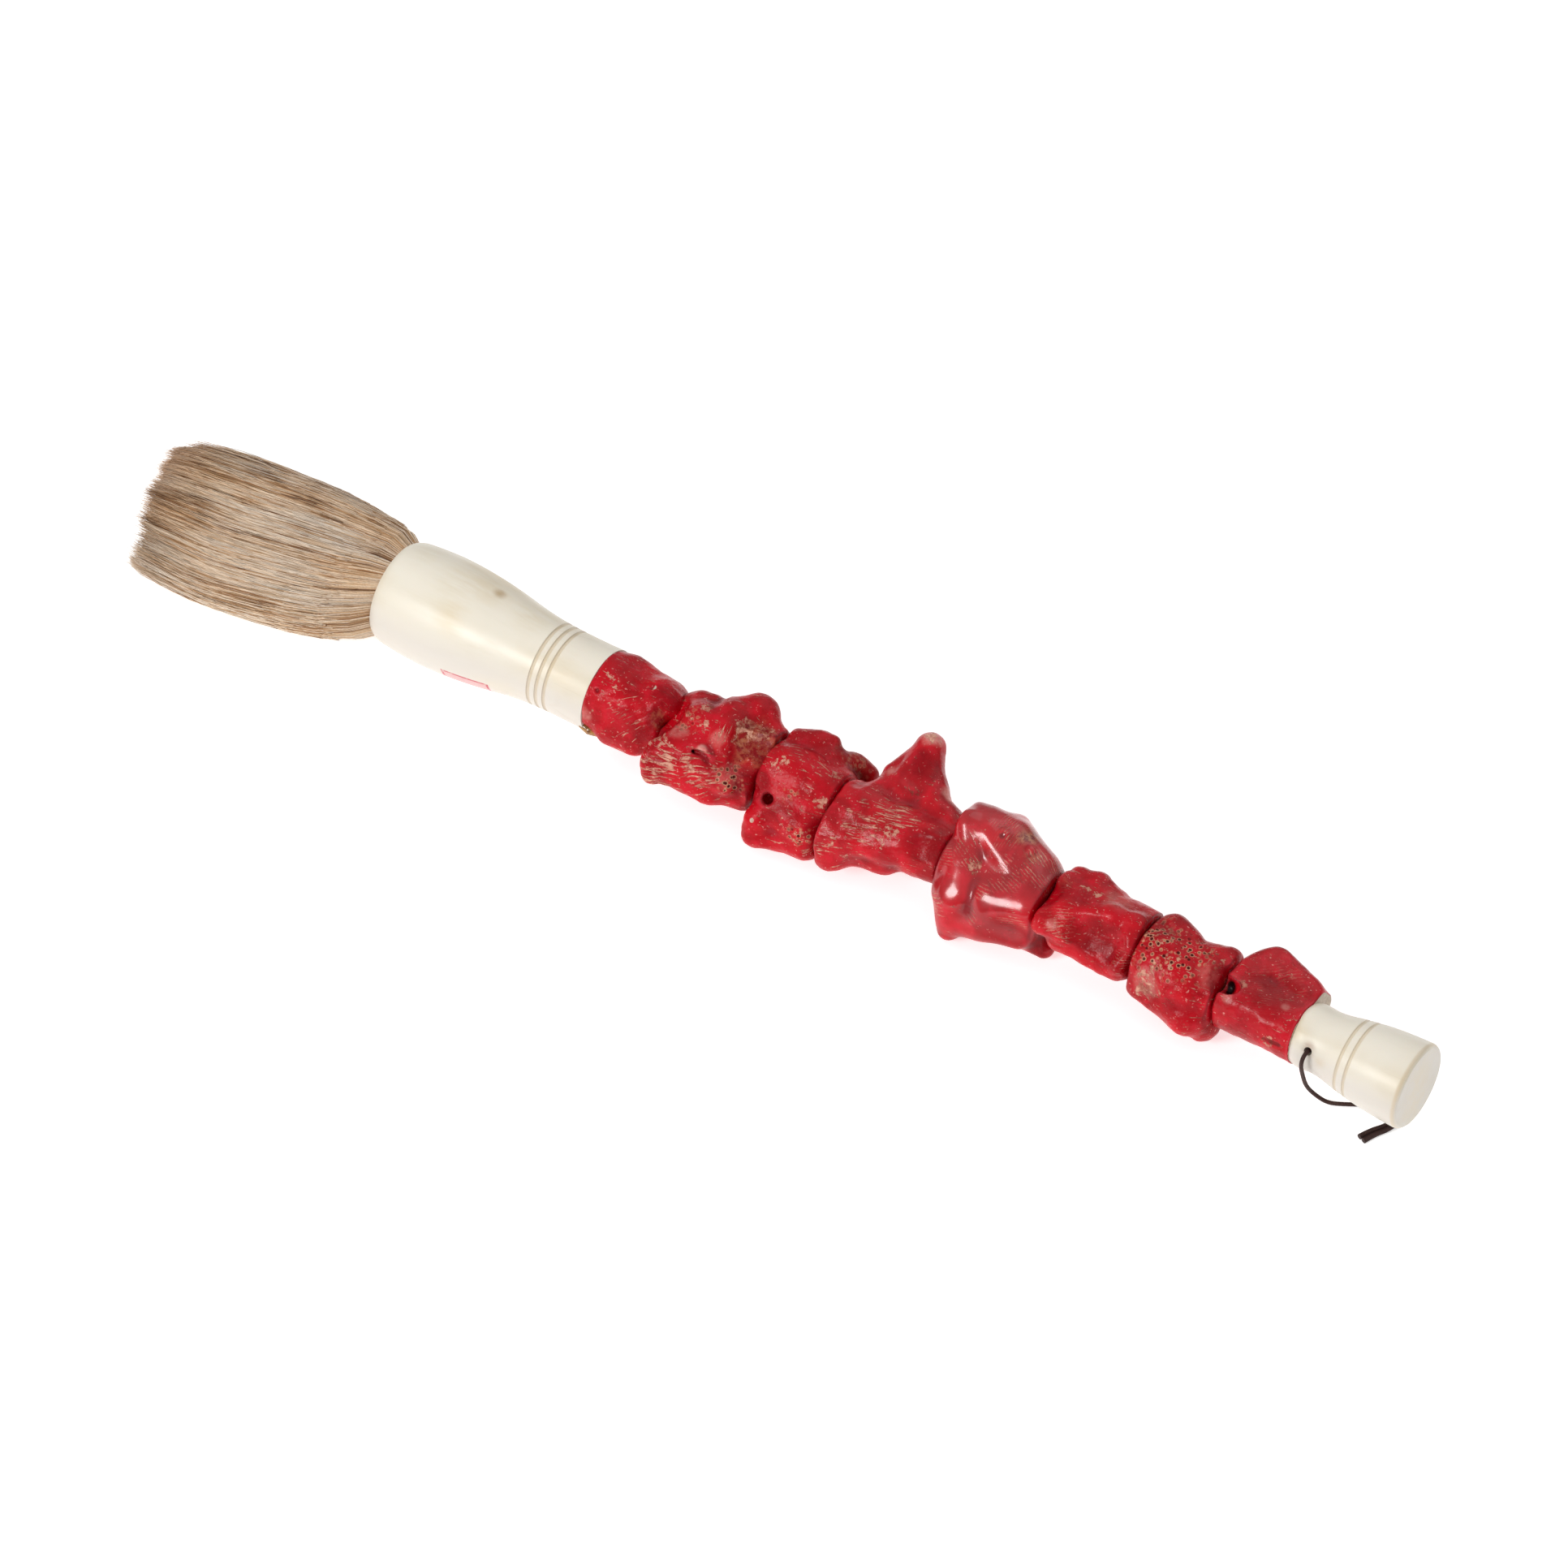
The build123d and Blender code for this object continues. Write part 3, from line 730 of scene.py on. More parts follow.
def bead_2():
    """A broad bead with fan-shaped wings low on its front and a worn hollow behind them."""
    bone = Bone(2, (9.4, 10.2, 12.0))
    bone.lump((5.2, 7.5, 0, 5.0), (7.4, 8.0, 0, 4.8))
    bone.lump((19.3, 8.5, 0, 7.2), (21.3, 13.2, -1, 5.5))
    bone.lump((15.6, 9.4, 0, 5.6), (19.6, 12.6, -1, 4.8))
    bone.lump((22.3, 11.6, 0, 5.2), (27.6, 8.4, 0, 4.8))
    bone.lump((9.3, -6, 9, 4.6), (2.8, -8.5, 11.4, 3.0))
    bone.lump((9.3, -8, 8, 5.2), (2.2, -12, 10.4, 3.6))
    bone.lump((9.3, -8, 8, 5.2), (3.4, -14.7, 8.2, 3.3))
    bone.lump((9.3, -11, 6, 5.4), (18.3, -11.6, 4.5, 5.0))
    bone.lump((6.3, -8, 9, 4.6), (23.3, -8, 8.2, 4.4))
    bone.lump((21.3, -10, 3, 4.6), (28, -9, 1, 4.6))
    bone.lump((8.4, 3.6, 6, 5.9), (15.3, 2, 6.8, 5.6))
    bone.lump((16, 9.5, 5.0, 4.2), (18.6, 5, 7.6, 4.0), (20.2, 0.5, 8.6, 3.8), soft=3.5)
    bone.lump((20.4, -1, 9.4, 3.0), (22.2, -5.6, 11, 2.0), soft=2.0)
    bone.cut((-0.8, 11, 9.5, 4.6), (-0.8, 1.5, 11, 5.2), soft=1.2)
    bone.cut((34.2, 3, 12.5, 4.2), (34.2, -7, 12.5, 4.8), soft=2.4)
    bone.lump((7, -2.6, 7.8, 4.4), (14, -3.2, 8.2, 4.2), soft=3.0)
    bone.ridge((12.7, -3.4, 12.2, 0.6), (16.5, -2.8, 12.7, 0.6), (20.6, -4.6, 12.2, 0.7))
    bone.cut((27.0, 6.0, 13.0, 6.4), (36, 5, 12.6, 7.4), soft=0.7)
    bone.cut((28, 0.4, 13.6, 5.0), (35, 0, 13, 6.0), soft=1.0)
    bone.cut((12.8, -4.5, 12.6, 0.75), (15.2, -4.1, 13.0, 0.7), (17.6, -4.3, 13.2, 0.4), soft=0.4)
    bone.patch("earth", (27, 5.4, 7, 6.5, 0.9))
    bone.patch("worn", (22.5, 8.6, 8, 3.6, 1.0), (27.5, 9.4, 5.5, 3.4, 0.8),
               (10.2, 8.2, 9, 1.8, 0.8), (12.4, 4.2, 11.5, 2, 0.7), (4.6, -6, 12.5, 3, 0.6),
               (8, 3.4, 11.5, 2.6, 0.6), (19.6, 3, 12, 2.4, 0.6), (10, 3, 11.5, 3.6, 0.5))
    bone.patch("pale", (7, -2, 11.5, 2.6, 0.4), (18.4, 1.5, 12.4, 2.4, 0.4),
               (26.2, -6.6, 11, 3.2, 0.3), (15.6, -2.8, 13, 1.3, 1.0))
    bone.patch("pores", (8, 3.4, 11.5, 3.4, 0.5), (26.6, -7.6, 10.5, 4, 1.0))
    # Painted shade: darker red in the valleys, and a near-black painted shadow in the small slot.
    bone.patch("painted_shade", (29.6, 4, 6, 4.4, 0.9), (31, -6, 8, 4.6, 0.9), (0.6, 3, 8.6, 2.2, 0.7),
               (22.4, -1.4, 9.4, 2.2, 0.7), (13.4, -4.6, 11.6, 0.9, 1.5))
    bone.striae((5.2, -12, 11, 8, 40, -5, 1.0), (17, -9, 11, 6.5, 45, 0, 0.9),
                (19.4, 3, 11, 3.4, 22, -12, 0.5))
    return bone


def bead_3():
    """A bead with a low ridge along its top, a pierced notch and a porous foot."""
    bone = Bone(3, (10.9, 10.8, 9.8))
    bone.lump((3.6, 10.4, 0, 4.4), (9.6, 12.6, -1, 4.4))
    bone.ridge((9.4, 13.4, -1, 3.2), (12, 14.9, -1, 2.5))
    bone.lump((14, 9.8, -1, 4.2), (19, 11.2, -7.4, 3.6))
    bone.overhanging((18, 11.2, -8, 3.5), (22.4, 11.0, -9.6, 3.3))
    bone.lump((4.8, 3, 6.3, 5.6), (16.4, 2, 6, 5.5))
    bone.lump((6.8, -8, 4, 6), (17.6, -9, 4, 5.6))
    bone.lump((4.2, -13.5, 4.4, 4.6), (3.7, -17, 2.2, 4.2))
    bone.lump((4.2, -16.6, 0, 4.4), (12.8, -14.6, 0, 4.4), (18.4, -14, 0, 4.6))
    bone.cut((0.2, -7.4, 9.8, 2.2))
    bone.cut((6.6, -7.4, 12.5, 1.6), (5.2, -7, 5, 1.5))
    bone.cut((6, -9.8, 12.3, 0.8), (14, -9.5, 13, 0.8), soft=1.4)
    bone.cut((20.4, -3.4, 11, 1.2), (24, -4, 10, 1.6))
    bone.patch("worn", (6.3, 3.2, 11.5, 2.6, 0.8), (21, -2.2, 11, 3, 1.0),
               (18, -13.3, 7.5, 2.8, 0.8), (20.5, 8, 8, 2.6, 0.8), (18, 6, 9.5, 3.0, 0.4))
    bone.patch("raw", (10.5, -2.6, 12, 1.1, 0.75), (12.4, -5.6, 12, 1.2, 0.75),
               (4.2, -14.6, 8.6, 0.8, 0.6))
    bone.patch("pores", (11.4, -4, 12, 2.8, 0.6), (18, -13.3, 7.5, 3.4, 1.0),
               (19, 13, -5, 7, 0.3))
    bone.patch("earth", (19, 13, -5, 6.5, 0.25))
    # Painted shade: darker red in the valleys and round the notch.
    bone.patch("painted_shade", (20, 13, -5, 7, 0.7), (2.4, -4, 9.6, 3.4, 0.8), (22.6, -9, 7.4, 4.2, 0.9),
               (9, -9, 11, 3.6, 0.6), (22, 6, 7, 3, 0.6), (7, 11, 6, 4, 0.3))
    bone.striae((15, 9.6, 8, 4, -30, 20, 0.5), (7, 10, 8, 4, -30, -10, 0.4))
    return bone


def bead_4():
    """The tallest bead, with a rounded spine that leans up and back."""
    bone = Bone(4, (9.0, 9.4, 8.3), gloss=0.35)
    bone.lump((1.6, -5.6, 0.6, 11.4), (4.0, -3.4, 0, 11.2), soft=1.4)
    bone.lump((9, 5.6, 3, 4.6), (9.6, 10.6, -1, 4.4))
    bone.lump((3.6, -13.6, 1.4, 4.2))
    bone.lump((7, 1, 5.6, 6), (22, -1, 3.6, 5.5))
    bone.lump((11, -8.6, 0, 4.7), (18, -7.8, 0, 4.8))
    bone.lump((13.8, 25.2, -5, 4.7), (15, 12, -2, 7))
    bone.lump((15, 20.8, -4.5, 4.9), (24, 10.5, -1.5, 5.4), (31, 8.2, -1, 4.9))
    bone.lump((8.3, 14.4, -2, 3.0), (11, 20, -4, 3.2), soft=1.6)
    bone.lump((17, -0.3, -7, 6), (19, -0.3, -15.4, 4))
    bone.lump((8, -7, 6.6, 3.8), (20, -4.6, 6.4, 3.6), (31, 2.6, 5.6, 3.2), soft=4.0)
    bone.cut((17, 16.5, 5.6, 3.6), (18, 22.5, 2.8, 2.6), soft=3.6)
    bone.cut((30, -1, 12.4, 3.8), (38, 0, 11.2, 3.8), soft=3.0)
    bone.patch("worn", (20, -0.5, 9.8, 2.6, 0.9), (18.5, -4.5, 9.8, 2.2, 0.7),
               (10.3, -4.6, 10.5, 3.4, 0.6), (4.4, -9.5, 9.4, 2.2, 0.8),
               (9.4, -10.8, 6.5, 2.2, 0.9), (16, 8, 8, 3, 0.4), (13.6, 28.2, -2.0, 2.8, 0.9),
               (18.5, 14, 4, 3.6, 0.6))
    bone.patch("pale", (14, 28.4, -2.4, 3.2, 1.0), (27.4, 16, -1, 3, 0.9),
               (9.6, 14.5, 0, 2.2, 0.6))
    # Painted shade: darker red in the top hollow and on the lower far side.
    bone.patch("painted_shade", (17, 21, 2, 4.4, 0.8), (30, 0, 8, 5.4, 0.7), (21, -8, 6, 4, 0.5),
               (27, 8, 5, 4, 0.5), (6.6, 4, 9, 3.6, 0.3))
    bone.striae((18.6, 5.5, 9.5, 7, -40, -12, 0.9), (10.3, -3, 10.5, 6, -40, -12, 1.0),
                (4.2, -11, 9, 4, -30, -12, 0.8))
    bone.scores((30, -3.6, 9, 2.6, -20, -4, 0.8))
    return bone


def bead_5():
    """The largest and glossiest bead, with a spur below and an eyelet on its upper edge."""
    bone = Bone(5, (10.6, 10.2, 10.0), length=32.1, gloss=1.0)
    bone.lump((2.4, 13.2, 2.6, 5.0), (10, 14.0, 0, 4.4))
    bone.lump((10.5, 13, 0, 4), (13, 16.2, -1, 3.7), (21, 11, 0, 4.4), (27, 8.4, 0, 4.2))
    bone.lump((3.2, 10.8, 7.0, 5.0), (6.4, 5.4, 6.2, 5.2), soft=2.0)
    bone.lump((6.6, 0.4, 7.6, 4.8), (8.6, -6.6, 7.8, 4.8), soft=2.8)
    bone.lump((8.9, 11.0, 6.8, 4.9), (19.3, 5.4, 5.7, 5.0), soft=2.0)
    bone.lump((7, 13.6, 3.6, 4.6), (14, 13.6, 3.0, 4.6), soft=3.0)
    bone.lump((18.5, -4.4, 7.0, 5.7), (28, -2.4, 6.6, 5.6), soft=2.4)
    bone.lump((16, 12, 3.4, 5.2), (25, 8.4, 3.0, 5.4), soft=3.0)
    bone.facet(0.03, -0.171, 0.984, 13.3, soft=1.4)
    bone.lump((26, 4, 5.6, 4.4), (18, -9, 4.4, 5.2), soft=3.5)
    bone.lump((7.4, -9, 4, 6.8), (7.0, -17.8, -2.4, 2.9), soft=3.5)
    bone.lump((8, -15, -1, 3.6), (16, -13, 0.6, 3.8), soft=3.5)
    bone.lump((9, -12.6, 2.6, 4.2), (19, -11.4, 2.4, 4.8), (27, -10, 0, 4.6), soft=3.5)
    bone.overhanging((24, -8.6, -3, 5.4), (32.7, -10.5, -7.8, 3.2))
    bone.ridge((14, 12.2, 9.0, 2.0))
    bone.cut((14.3, 12.2, 11.2, 0.7))
    bone.ridge((22.4, 11.8, 7.4, 1.2))
    bone.ridge((12.6, 15.6, 3.0, 2.0))
    bone.cut((13.5, 1.2, 15.4, 3.6), (20, 0.6, 14.8, 2.8), soft=3.0)
    bone.patch("earth", (18.6, 14, 5, 4.0, 1.1), (24, 9.6, 6, 3, 0.6))
    bone.patch("worn", (11, 1.6, 11.6, 3.2, 0.9), (7.5, 1.4, 11.6, 2.6, 0.7))
    bone.patch("pale", (4.4, -13, 6, 1.8, 0.7), (19.4, -13, 5, 1.8, 0.7))
    # Painted shade: darker red on the tail in shadow under bead 6, and in hollows.
    bone.patch("painted_shade", (32.4, -10.6, -3.4, 5.4, 1.1), (6, 14, 4, 5, 0.6), (12, -16, 0, 4, 0.6),
               (29.6, 2, 8.6, 4, 0.5), (21.4, 12, 7.6, 1.5, 0.8))
    bone.scores((7.6, 4.6, 10.4, 4.6, -40, 24, 1.3), (14, 12.5, 6, 5.5, 14, -30, 0.9),
                (27.5, 9, 7, 6.5, -30, 22, 1.0), (20, 3, 11.5, 5, -30, 14, 0.7),
                (2, 0, 10, 3.5, -40, -10, 0.6), (4.6, -12, 6, 4, -10, -16, 0.9),
                (15, -11, 8, 2.6, -10, -4, 0.8), (27.4, -8, 7.6, 4, -20, -14, 0.8),
                (15.5, -4, 11.5, 3, -20, -4, 0.5))
    return bone


def bead_6():
    """A deep red bead with a knob at its near end and a ridge that climbs to the far one."""
    bone = Bone(6, (9.6, 9.9, 10.2), lift=2.2, gloss=0.25)
    bone.lump((4.6, 9.7, 0, 3.9), (9.6, 10.7, 0, 4.5), (15, 9.3, 0, 3.8))
    bone.ridge((3.4, 11.8, 0, 2.4))
    bone.lump((3.0, -3.8, 8.4, 4.2), (8.4, -4.4, 8.6, 2.6))
    bone.lump((6.4, 0.2, 7.6, 3.8), (11.4, -3.2, 7.6, 3.8), soft=3.5)
    bone.lump((9.0, 1.6, 8.6, 3.0), (15.4, 3.6, 8.8, 3.0), (20.4, 5.4, 8.4, 3.0), soft=1.8)
    bone.lump((20.4, 5.4, 8.4, 3.0), (27, 6.4, 7.2, 3.0), soft=1.8)
    bone.lump((26.8, 5.6, 7.6, 2.8), (27.8, 0, 8.6, 2.4), (27.6, -6, 7.0, 2.4), soft=1.8)
    bone.lump((10, 0, -7, 4.5), (22, 1, -7, 4.5))
    bone.lump((8, -6, 4, 4), (26, -6.4, 3, 4))
    bone.cut((16, -3.4, 14.8, 6.0), (23.4, -2.6, 14.6, 6.2), soft=1.6)
    bone.cut((-0.6, 5, 11.5, 4.4), soft=2.5)
    bone.cut((7.4, 9.6, 9, 1.2))
    bone.patch("worn", (8.8, 9.8, 7.5, 2.4, 0.9), (6.2, 3.5, 9.7, 2.0, 0.5),
               (12.6, 9.6, 7, 2.0, 0.8))
    bone.patch("earth", (3, 8.4, 8, 2.4, 0.3))
    # Painted shade: darker red in the front hollow and at the near end.
    bone.patch("painted_shade", (19, -2, 10, 6.2, 0.8), (24, -5, 9, 4.6, 0.5), (4, 5.4, 9.4, 3.6, 0.7),
               (10, 6, 8.6, 3.4, 0.6))
    # The broad pale patch high on the front is a painted highlight.
    bone.patch("pale", (19, 10, 7, 4.6, 0.3), (6.4, -3.8, 11.4, 1.6, 0.5))
    bone.scores((7, -2, 10.8, 4.6, 30, 8, 0.6), (28.4, -4, 9, 3.0, -30, -12, 0.7))
    bone.striae((9, -4, 10.5, 4.5, -20, -8, 0.5))
    return bone


def bead_7():
    """A porous bead, pitted all over its front."""
    bone = Bone(7, (10.8, 10.0, 10.2))
    bone.lump((4.2, 9.6, 0, 4.4), (10, 7.6, 0, 4.6))
    bone.lump((22.6, 8.3, 0, 4.3), (17, 6.8, 0, 4.2))
    bone.lump((4.2, -7.4, 3.4, 4.6), (11.6, -7.8, 0, 4.7))
    bone.lump((4, -2, 6.8, 4.6), (12, -4, 7.0, 4.6))
    bone.lump((12, -7.6, 2, 5.4), (19.2, -9.6, 2.4, 5.4), soft=4.0)
    bone.overhanging((18.6, -9.6, -0.5, 5.4), (22.2, -10.6, -4.2, 4.8), soft=4.0)
    bone.cut((27.6, 4, 11.5, 4.6), soft=2.4)
    bone.lump((5, 3, 6.6, 4.8), (17, -3, 6.8, 5.4))
    bone.lump((8.5, 0, -7, 6), (9, -0.5, -15.65, 3.7))
    bone.patch("pores", (12, 5, 10.5, 8.5, 1.0), (5, 4, 10.5, 8, 1.0))
    bone.patch("worn", (4, 6, 9, 5, 0.6), (7.2, -6.6, 9, 4.4, 0.8), (11, -8.6, 8, 3.4, 0.6),
               (4.4, 7, 8, 3.4, 0.6), (10, 1.5, 11, 3.6, 0.5), (22, 7, 8, 3.4, 0.7))
    bone.patch("pale", (7.2, -6.6, 9, 4.2, 0.5), (22.6, 3, 10, 3.4, 0.35))
    # Painted shade: darker red on the far end and under the lower lobe.
    bone.patch("painted_shade", (25.4, 4, 8.4, 4.4, 0.9), (17, -9, 6, 5, 0.5))
    bone.striae((8, -6.6, 9, 4.4, 20, -14, 0.6))
    return bone


def bead_8():
    """The last bead, humped on top, with a flat dark facet and a bare end face."""
    bone = Bone(8, (9.3, 9.1, 9.4), length=25.2, gloss=0.35, bare_end=True,
                rounding=(END_ROUNDING, 0.3))
    bone.lump((5, 8.6, 2, 5.4), (8.4, 13.8, 0, 5.6), (21, 9.6, 0, 4.8))
    bone.lump((18, 7.6, -4, 5.4), (23, 7.6, -4.6, 5.2))
    bone.lump((5, 0, 4.6, 4.9), (20, 0, 4.1, 4.8), soft=5.0)
    bone.facet(0.05, 0.614, 0.789, 10.4)
    bone.cut((0.6, 2.2, 8.0, 2.6), (3.6, 2.0, 9.0, 2.4))
    bone.cut((2.0, 2.0, 8.0, 1.9), (2.0, 1.8, 6.4, 1.8))
    bone.cut((17.5, -6.8, 7.5, 0.7), (22, -6.5, 7.5, 0.7))
    bone.patch("worn", (5.4, 3, 9, 2.2, 0.9), (7.5, 15, 4, 4, 0.3), (19, -6.9, 7, 2.8, 0.9),
               (23.8, 0, 9.5, 2.6, 0.4))
    # The first two small pale spots are painted highlights.
    bone.patch("pale", (13.6, 6.5, 8.5, 1.1, 0.6), (19.6, 4.4, 9, 1.2, 0.6),
               (4.4, 4.6, 9.6, 1.4, 0.7), (4, -0.6, 10, 1.6, 0.4))
    # Painted shade: a near-black painted shadow in the notch, and darker red over the bead's
    # front.
    bone.patch("painted_shade", (2.0, 2, 6.6, 2.3, 1.6), (13, 4, 9.4, 9, 0.45), (12, -5, 8, 6, 0.4))
    bone.scores((14, 8, 7, 8, -40, -20, 0.25))
    return bone


def lacquer_colour(paint, blotch, fine):
    """The lacquer's own crimson, with brighter, browner and paler places; a few of the paler
    places are painted highlights.
    """
    broad = paint.noise(95.0, detail=3.0)
    colour = paint.mix(paint.span(broad, 0.35, 0.65), rgb("9c0410"), rgb("c0081a"))
    colour = paint.mix(paint.span(blotch, 0.45, 0.7, 0, 0.6), colour, rgb("cd1229"))
    edge = paint.span(paint.attribute("edge"), 0.5, 1.0, 0, 0.3)
    colour = paint.mix(edge, colour, rgb("cf3c4a"))
    earth = paint.times(paint.attribute("earth"), paint.span(blotch, 0.3, 0.55, 0.35, 0.85))
    earth_tone = paint.mix(paint.span(fine, 0.4, 0.58), rgb("641a16"), rgb("b0724f"))
    colour = paint.mix(earth, colour, earth_tone)
    # Paler places: pale worn lacquer, and on beads 6 and 8 a few small painted highlights.
    pale = paint.times(paint.attribute("pale"), paint.span(fine, 0.3, 0.6, 0.4, 0.9))
    return paint.mix(pale, colour, rgb("dc968c"))


def bare_places(paint, blotch, fine, gloss):
    """Where the lacquer is gone: worn spots, broken strokes and scored lines, each from 0 to 1."""
    across = paint.attribute("across")
    flat = paint.node("CombineXYZ", {0: across, 1: paint.attribute("along")}).outputs[0]
    sound = 0.03 * gloss  # the glossier the lacquer, the more of it is left
    pattern = paint.sum(paint.times(blotch, 0.35), paint.times(fine, 0.65))
    spots = paint.span(paint.sum(pattern, paint.times(paint.attribute("worn"), 0.16)),
                       0.61 + sound, 0.67 + sound)
    strokes = paint.noise(1.0, detail=3.0, rough=0.6, distort=0.7,
                          where=paint.stretched(flat, (1.9, 0.2, 1.0)))
    lines = paint.sum(paint.times(strokes, 0.8), paint.times(fine, 0.2))
    torn = paint.span(paint.sum(lines, paint.times(paint.attribute("striae"), 0.11)),
                      0.6 + sound, 0.66 + sound)
    wander = paint.noise(9.0, detail=1.0, where=paint.stretched(flat, (0.25, 0.12, 1.0)))
    phase = paint.sum(paint.times(across, 2 * pi / SCORE_PITCH), paint.times(wander, 5.0))
    score = paint.span(paint.sum(phase, 0.0, "SINE"), 0.1, 1.0)
    scored = paint.times(paint.times(score, paint.attribute("scores")),
                         paint.span(blotch, 0.4, 0.56))
    return spots, torn, scored


def red_bone_paint(name, gloss):
    """Crimson lacquer on carved bone, worn to the bone along fine lines, with dark pores and
    painted shade.
    """
    paint = Paint(name, Coat_IOR=1.32 + 0.2 * gloss, Specular_IOR_Level=0.1)
    blotch = paint.noise(260.0, detail=4.0, rough=0.6)
    fine = paint.noise(640.0, detail=4.0, rough=0.65)
    speck = paint.noise(1100.0, detail=2.0)
    hollow, shaded = paint.attribute("hollow"), paint.attribute("painted_shade")
    porous = paint.attribute("pores")
    spots, torn, scored = bare_places(paint, blotch, fine, gloss)
    bare = paint.most(spots, torn, paint.times(scored, 0.95))
    # Bare bone is darker in specks, and painted darker in the hollows as painted shade.
    darkening = paint.span(paint.sum(speck, paint.times(hollow, 0.6)), 0.38, 0.9)
    bone = paint.mix(darkening, rgb("dfaa92"), rgb("964a3c"))
    colour = paint.mix(paint.times(bare, 0.8), lacquer_colour(paint, blotch, fine), bone)
    flecks = paint.span(speck, 0.65 + 0.05 * gloss, 0.7 + 0.05 * gloss, 0, 0.6)
    colour = paint.mix(flecks, colour, rgb("e0968c"))
    # Painted shade: the painted-shade patches turn the red darker where shade falls.
    painted_shade = paint.times(shaded, paint.span(fine, 0.3, 0.6, 0.95, 0.7))
    colour = paint.mix(painted_shade, colour, rgb("84030f"))
    # Pits with a tan rim, painted shade in the hollows, a near-black painted shadow where the
    # painted-shade patches are strongest, and bone that was never lacquered.
    cells = paint.node("TexVoronoi", {"Vector": paint.place(), "Scale": 620.0}).outputs[0]
    rims = paint.times(paint.span(cells, 0.32, 0.52, 0.9, 0), paint.span(blotch, 0.38, 0.5))
    colour = paint.mix(paint.times(rims, porous), colour, rgb("d09676"))
    pits = paint.times(paint.span(cells, 0.2, 0.34, 1, 0), porous)
    colour = paint.mix(pits, colour, rgb("540a0c"))
    colour = paint.mix(paint.span(hollow, 0.2, 1.0, 0, 0.55), colour, rgb("480409"))
    colour = paint.mix(paint.span(shaded, 1.05, 1.4), colour, rgb("180305"))
    raw = paint.span(paint.sum(paint.attribute("raw"), blotch), 0.9, 1.2)
    colour = paint.mix(raw, colour, paint.mix(speck, rgb("b09a86"), rgb("dccfbd")))
    paint.set("Base Color", colour)
    paint.set("Roughness", paint.span(paint.sum(bare, pits), 0, 1, 0.36, 0.6))
    # The lacquer's coat is weaker where the surface faces down, and mostly gone from worn bone,
    # pits, bare bone and the painted-shade patches.
    gone = paint.most(bare, pits, raw, painted_shade)
    film = paint.times(paint.span(paint.rise(), 0.05, 0.5, 0.25, 1.0),
                       paint.span(gone, 0, 1, 1, 0.2))
    paint.set("Coat Weight", paint.times(film, 0.15 + 0.85 * gloss))
    paint.set("Coat Roughness", paint.span(blotch, 0.3, 0.8, 0.15, 0.23))
    grit = paint.sum(blotch, paint.times(fine, 0.5))
    rough = paint.bump(grit, 0.6 - 0.58 * gloss, 0.0006)
    lined = paint.sum(paint.most(torn, spots), scored)
    grooved = paint.bump(paint.times(lined, -1.0), 0.6, 0.0004, rough)
    paint.set("Normal", paint.bump(paint.sum(1.0, pits, "SUBTRACT"), 0.8, 0.0006, grooved))
    paint.set("Coat Normal", paint.bump(paint.times(scored, -1.0), 0.25, 0.0001, rough))
    return paint.material


def add_beads():
    """The eight beads, each from its own shape."""
    paints = {}
    for make in (bead_1, bead_2, bead_3, bead_4, bead_5, bead_6, bead_7, bead_8):
        bone = make()
        if bone.gloss not in paints:
            name = f"crimson_bone_gloss_{round(100 * bone.gloss)}"
            paints[bone.gloss] = red_bone_paint(name, bone.gloss)
        bone.build(paints[bone.gloss])


# ------------------------------------------------------------------ hair tuft

# Station, middle across, middle height, half width and half height of the tuft.
TUFT = np.array((
    (HAIR_TIP_X - 8, -6.4, 12.0, 18.4, 9.8),
    (HAIR_TIP_X, -6.2, 12.0, 20.6, 10.6),
    (-204.0, -6.0, 12.2, 22.4, 11.6),
    (-192.0, -5.0, 12.5, 24.8, 12.4),
    (-175.0, -4.1, 13.3, 26.6, 13.2),
    (-160.0, -3.2, 14.4, 25.6, 14.3),
    (-146.0, -2.5, 15.2, 23.2, 15.1),
    (-136.0, -1.5, 15.9, 20.0, 15.2),
    (-131.0, -0.6, 16.3, 16.6, 14.6),
    (MOUTH_X, 0.0, AXIS_Z, 13.2, 13.2),
    (MOUTH_X + 26, 0.0, AXIS_Z, 13.0, 13.0),
))
HAIR_ROOT_X = MOUTH_X + 4
HAIR_SIDES = 3
LOCK_TURN = 0.11  # from one lock of hair to the next, in radians
HAIR_CLEARANCE = 0.15  # between the lowest hair's middle and the table
TUFT_RADIUS = 19.0  # for laying the tuft's surface flat
# Streaks and locks that differ from the rest: station, way up, half length, half width,
# how much darker or lighter, and how much warmer.
HAIR_LOCKS = (
    (-168, 11.5, 9, 1.6, -0.42, 0.3),
    (-190, 8, 11, 1.8, -0.25, 0.4),
    (-183, 13.5, 9, 2.0, -0.22, -0.5),
    (-177, 4, 5, 0.8, -0.4, 0.3),
    (-192, -2, 7, 1.3, -0.34, -0.3),
    (-136, -2.5, 12, 3.6, -0.1, 0.7),
    (-137, 9.6, 8, 0.7, -0.4, -0.2),
    (-140, 13, 16, 3.5, -0.12, 0.4),
    (-152, 7.5, 15, 3.6, 0.16, -0.3),
    (-172, 1, 16, 3.0, 0.12, -0.2),
    (-160, -13, 20, 5.0, 0.1, -0.3),
    (-196, -8, 9, 5.0, -0.16, 0.5),
    (-198, -25, 10, 3.0, 0.06, 0.0),
    (-160, -22, 22, 3.0, -0.14, 0.1),
    (-200, 6, 8, 5.0, -0.08, 0.5),
)


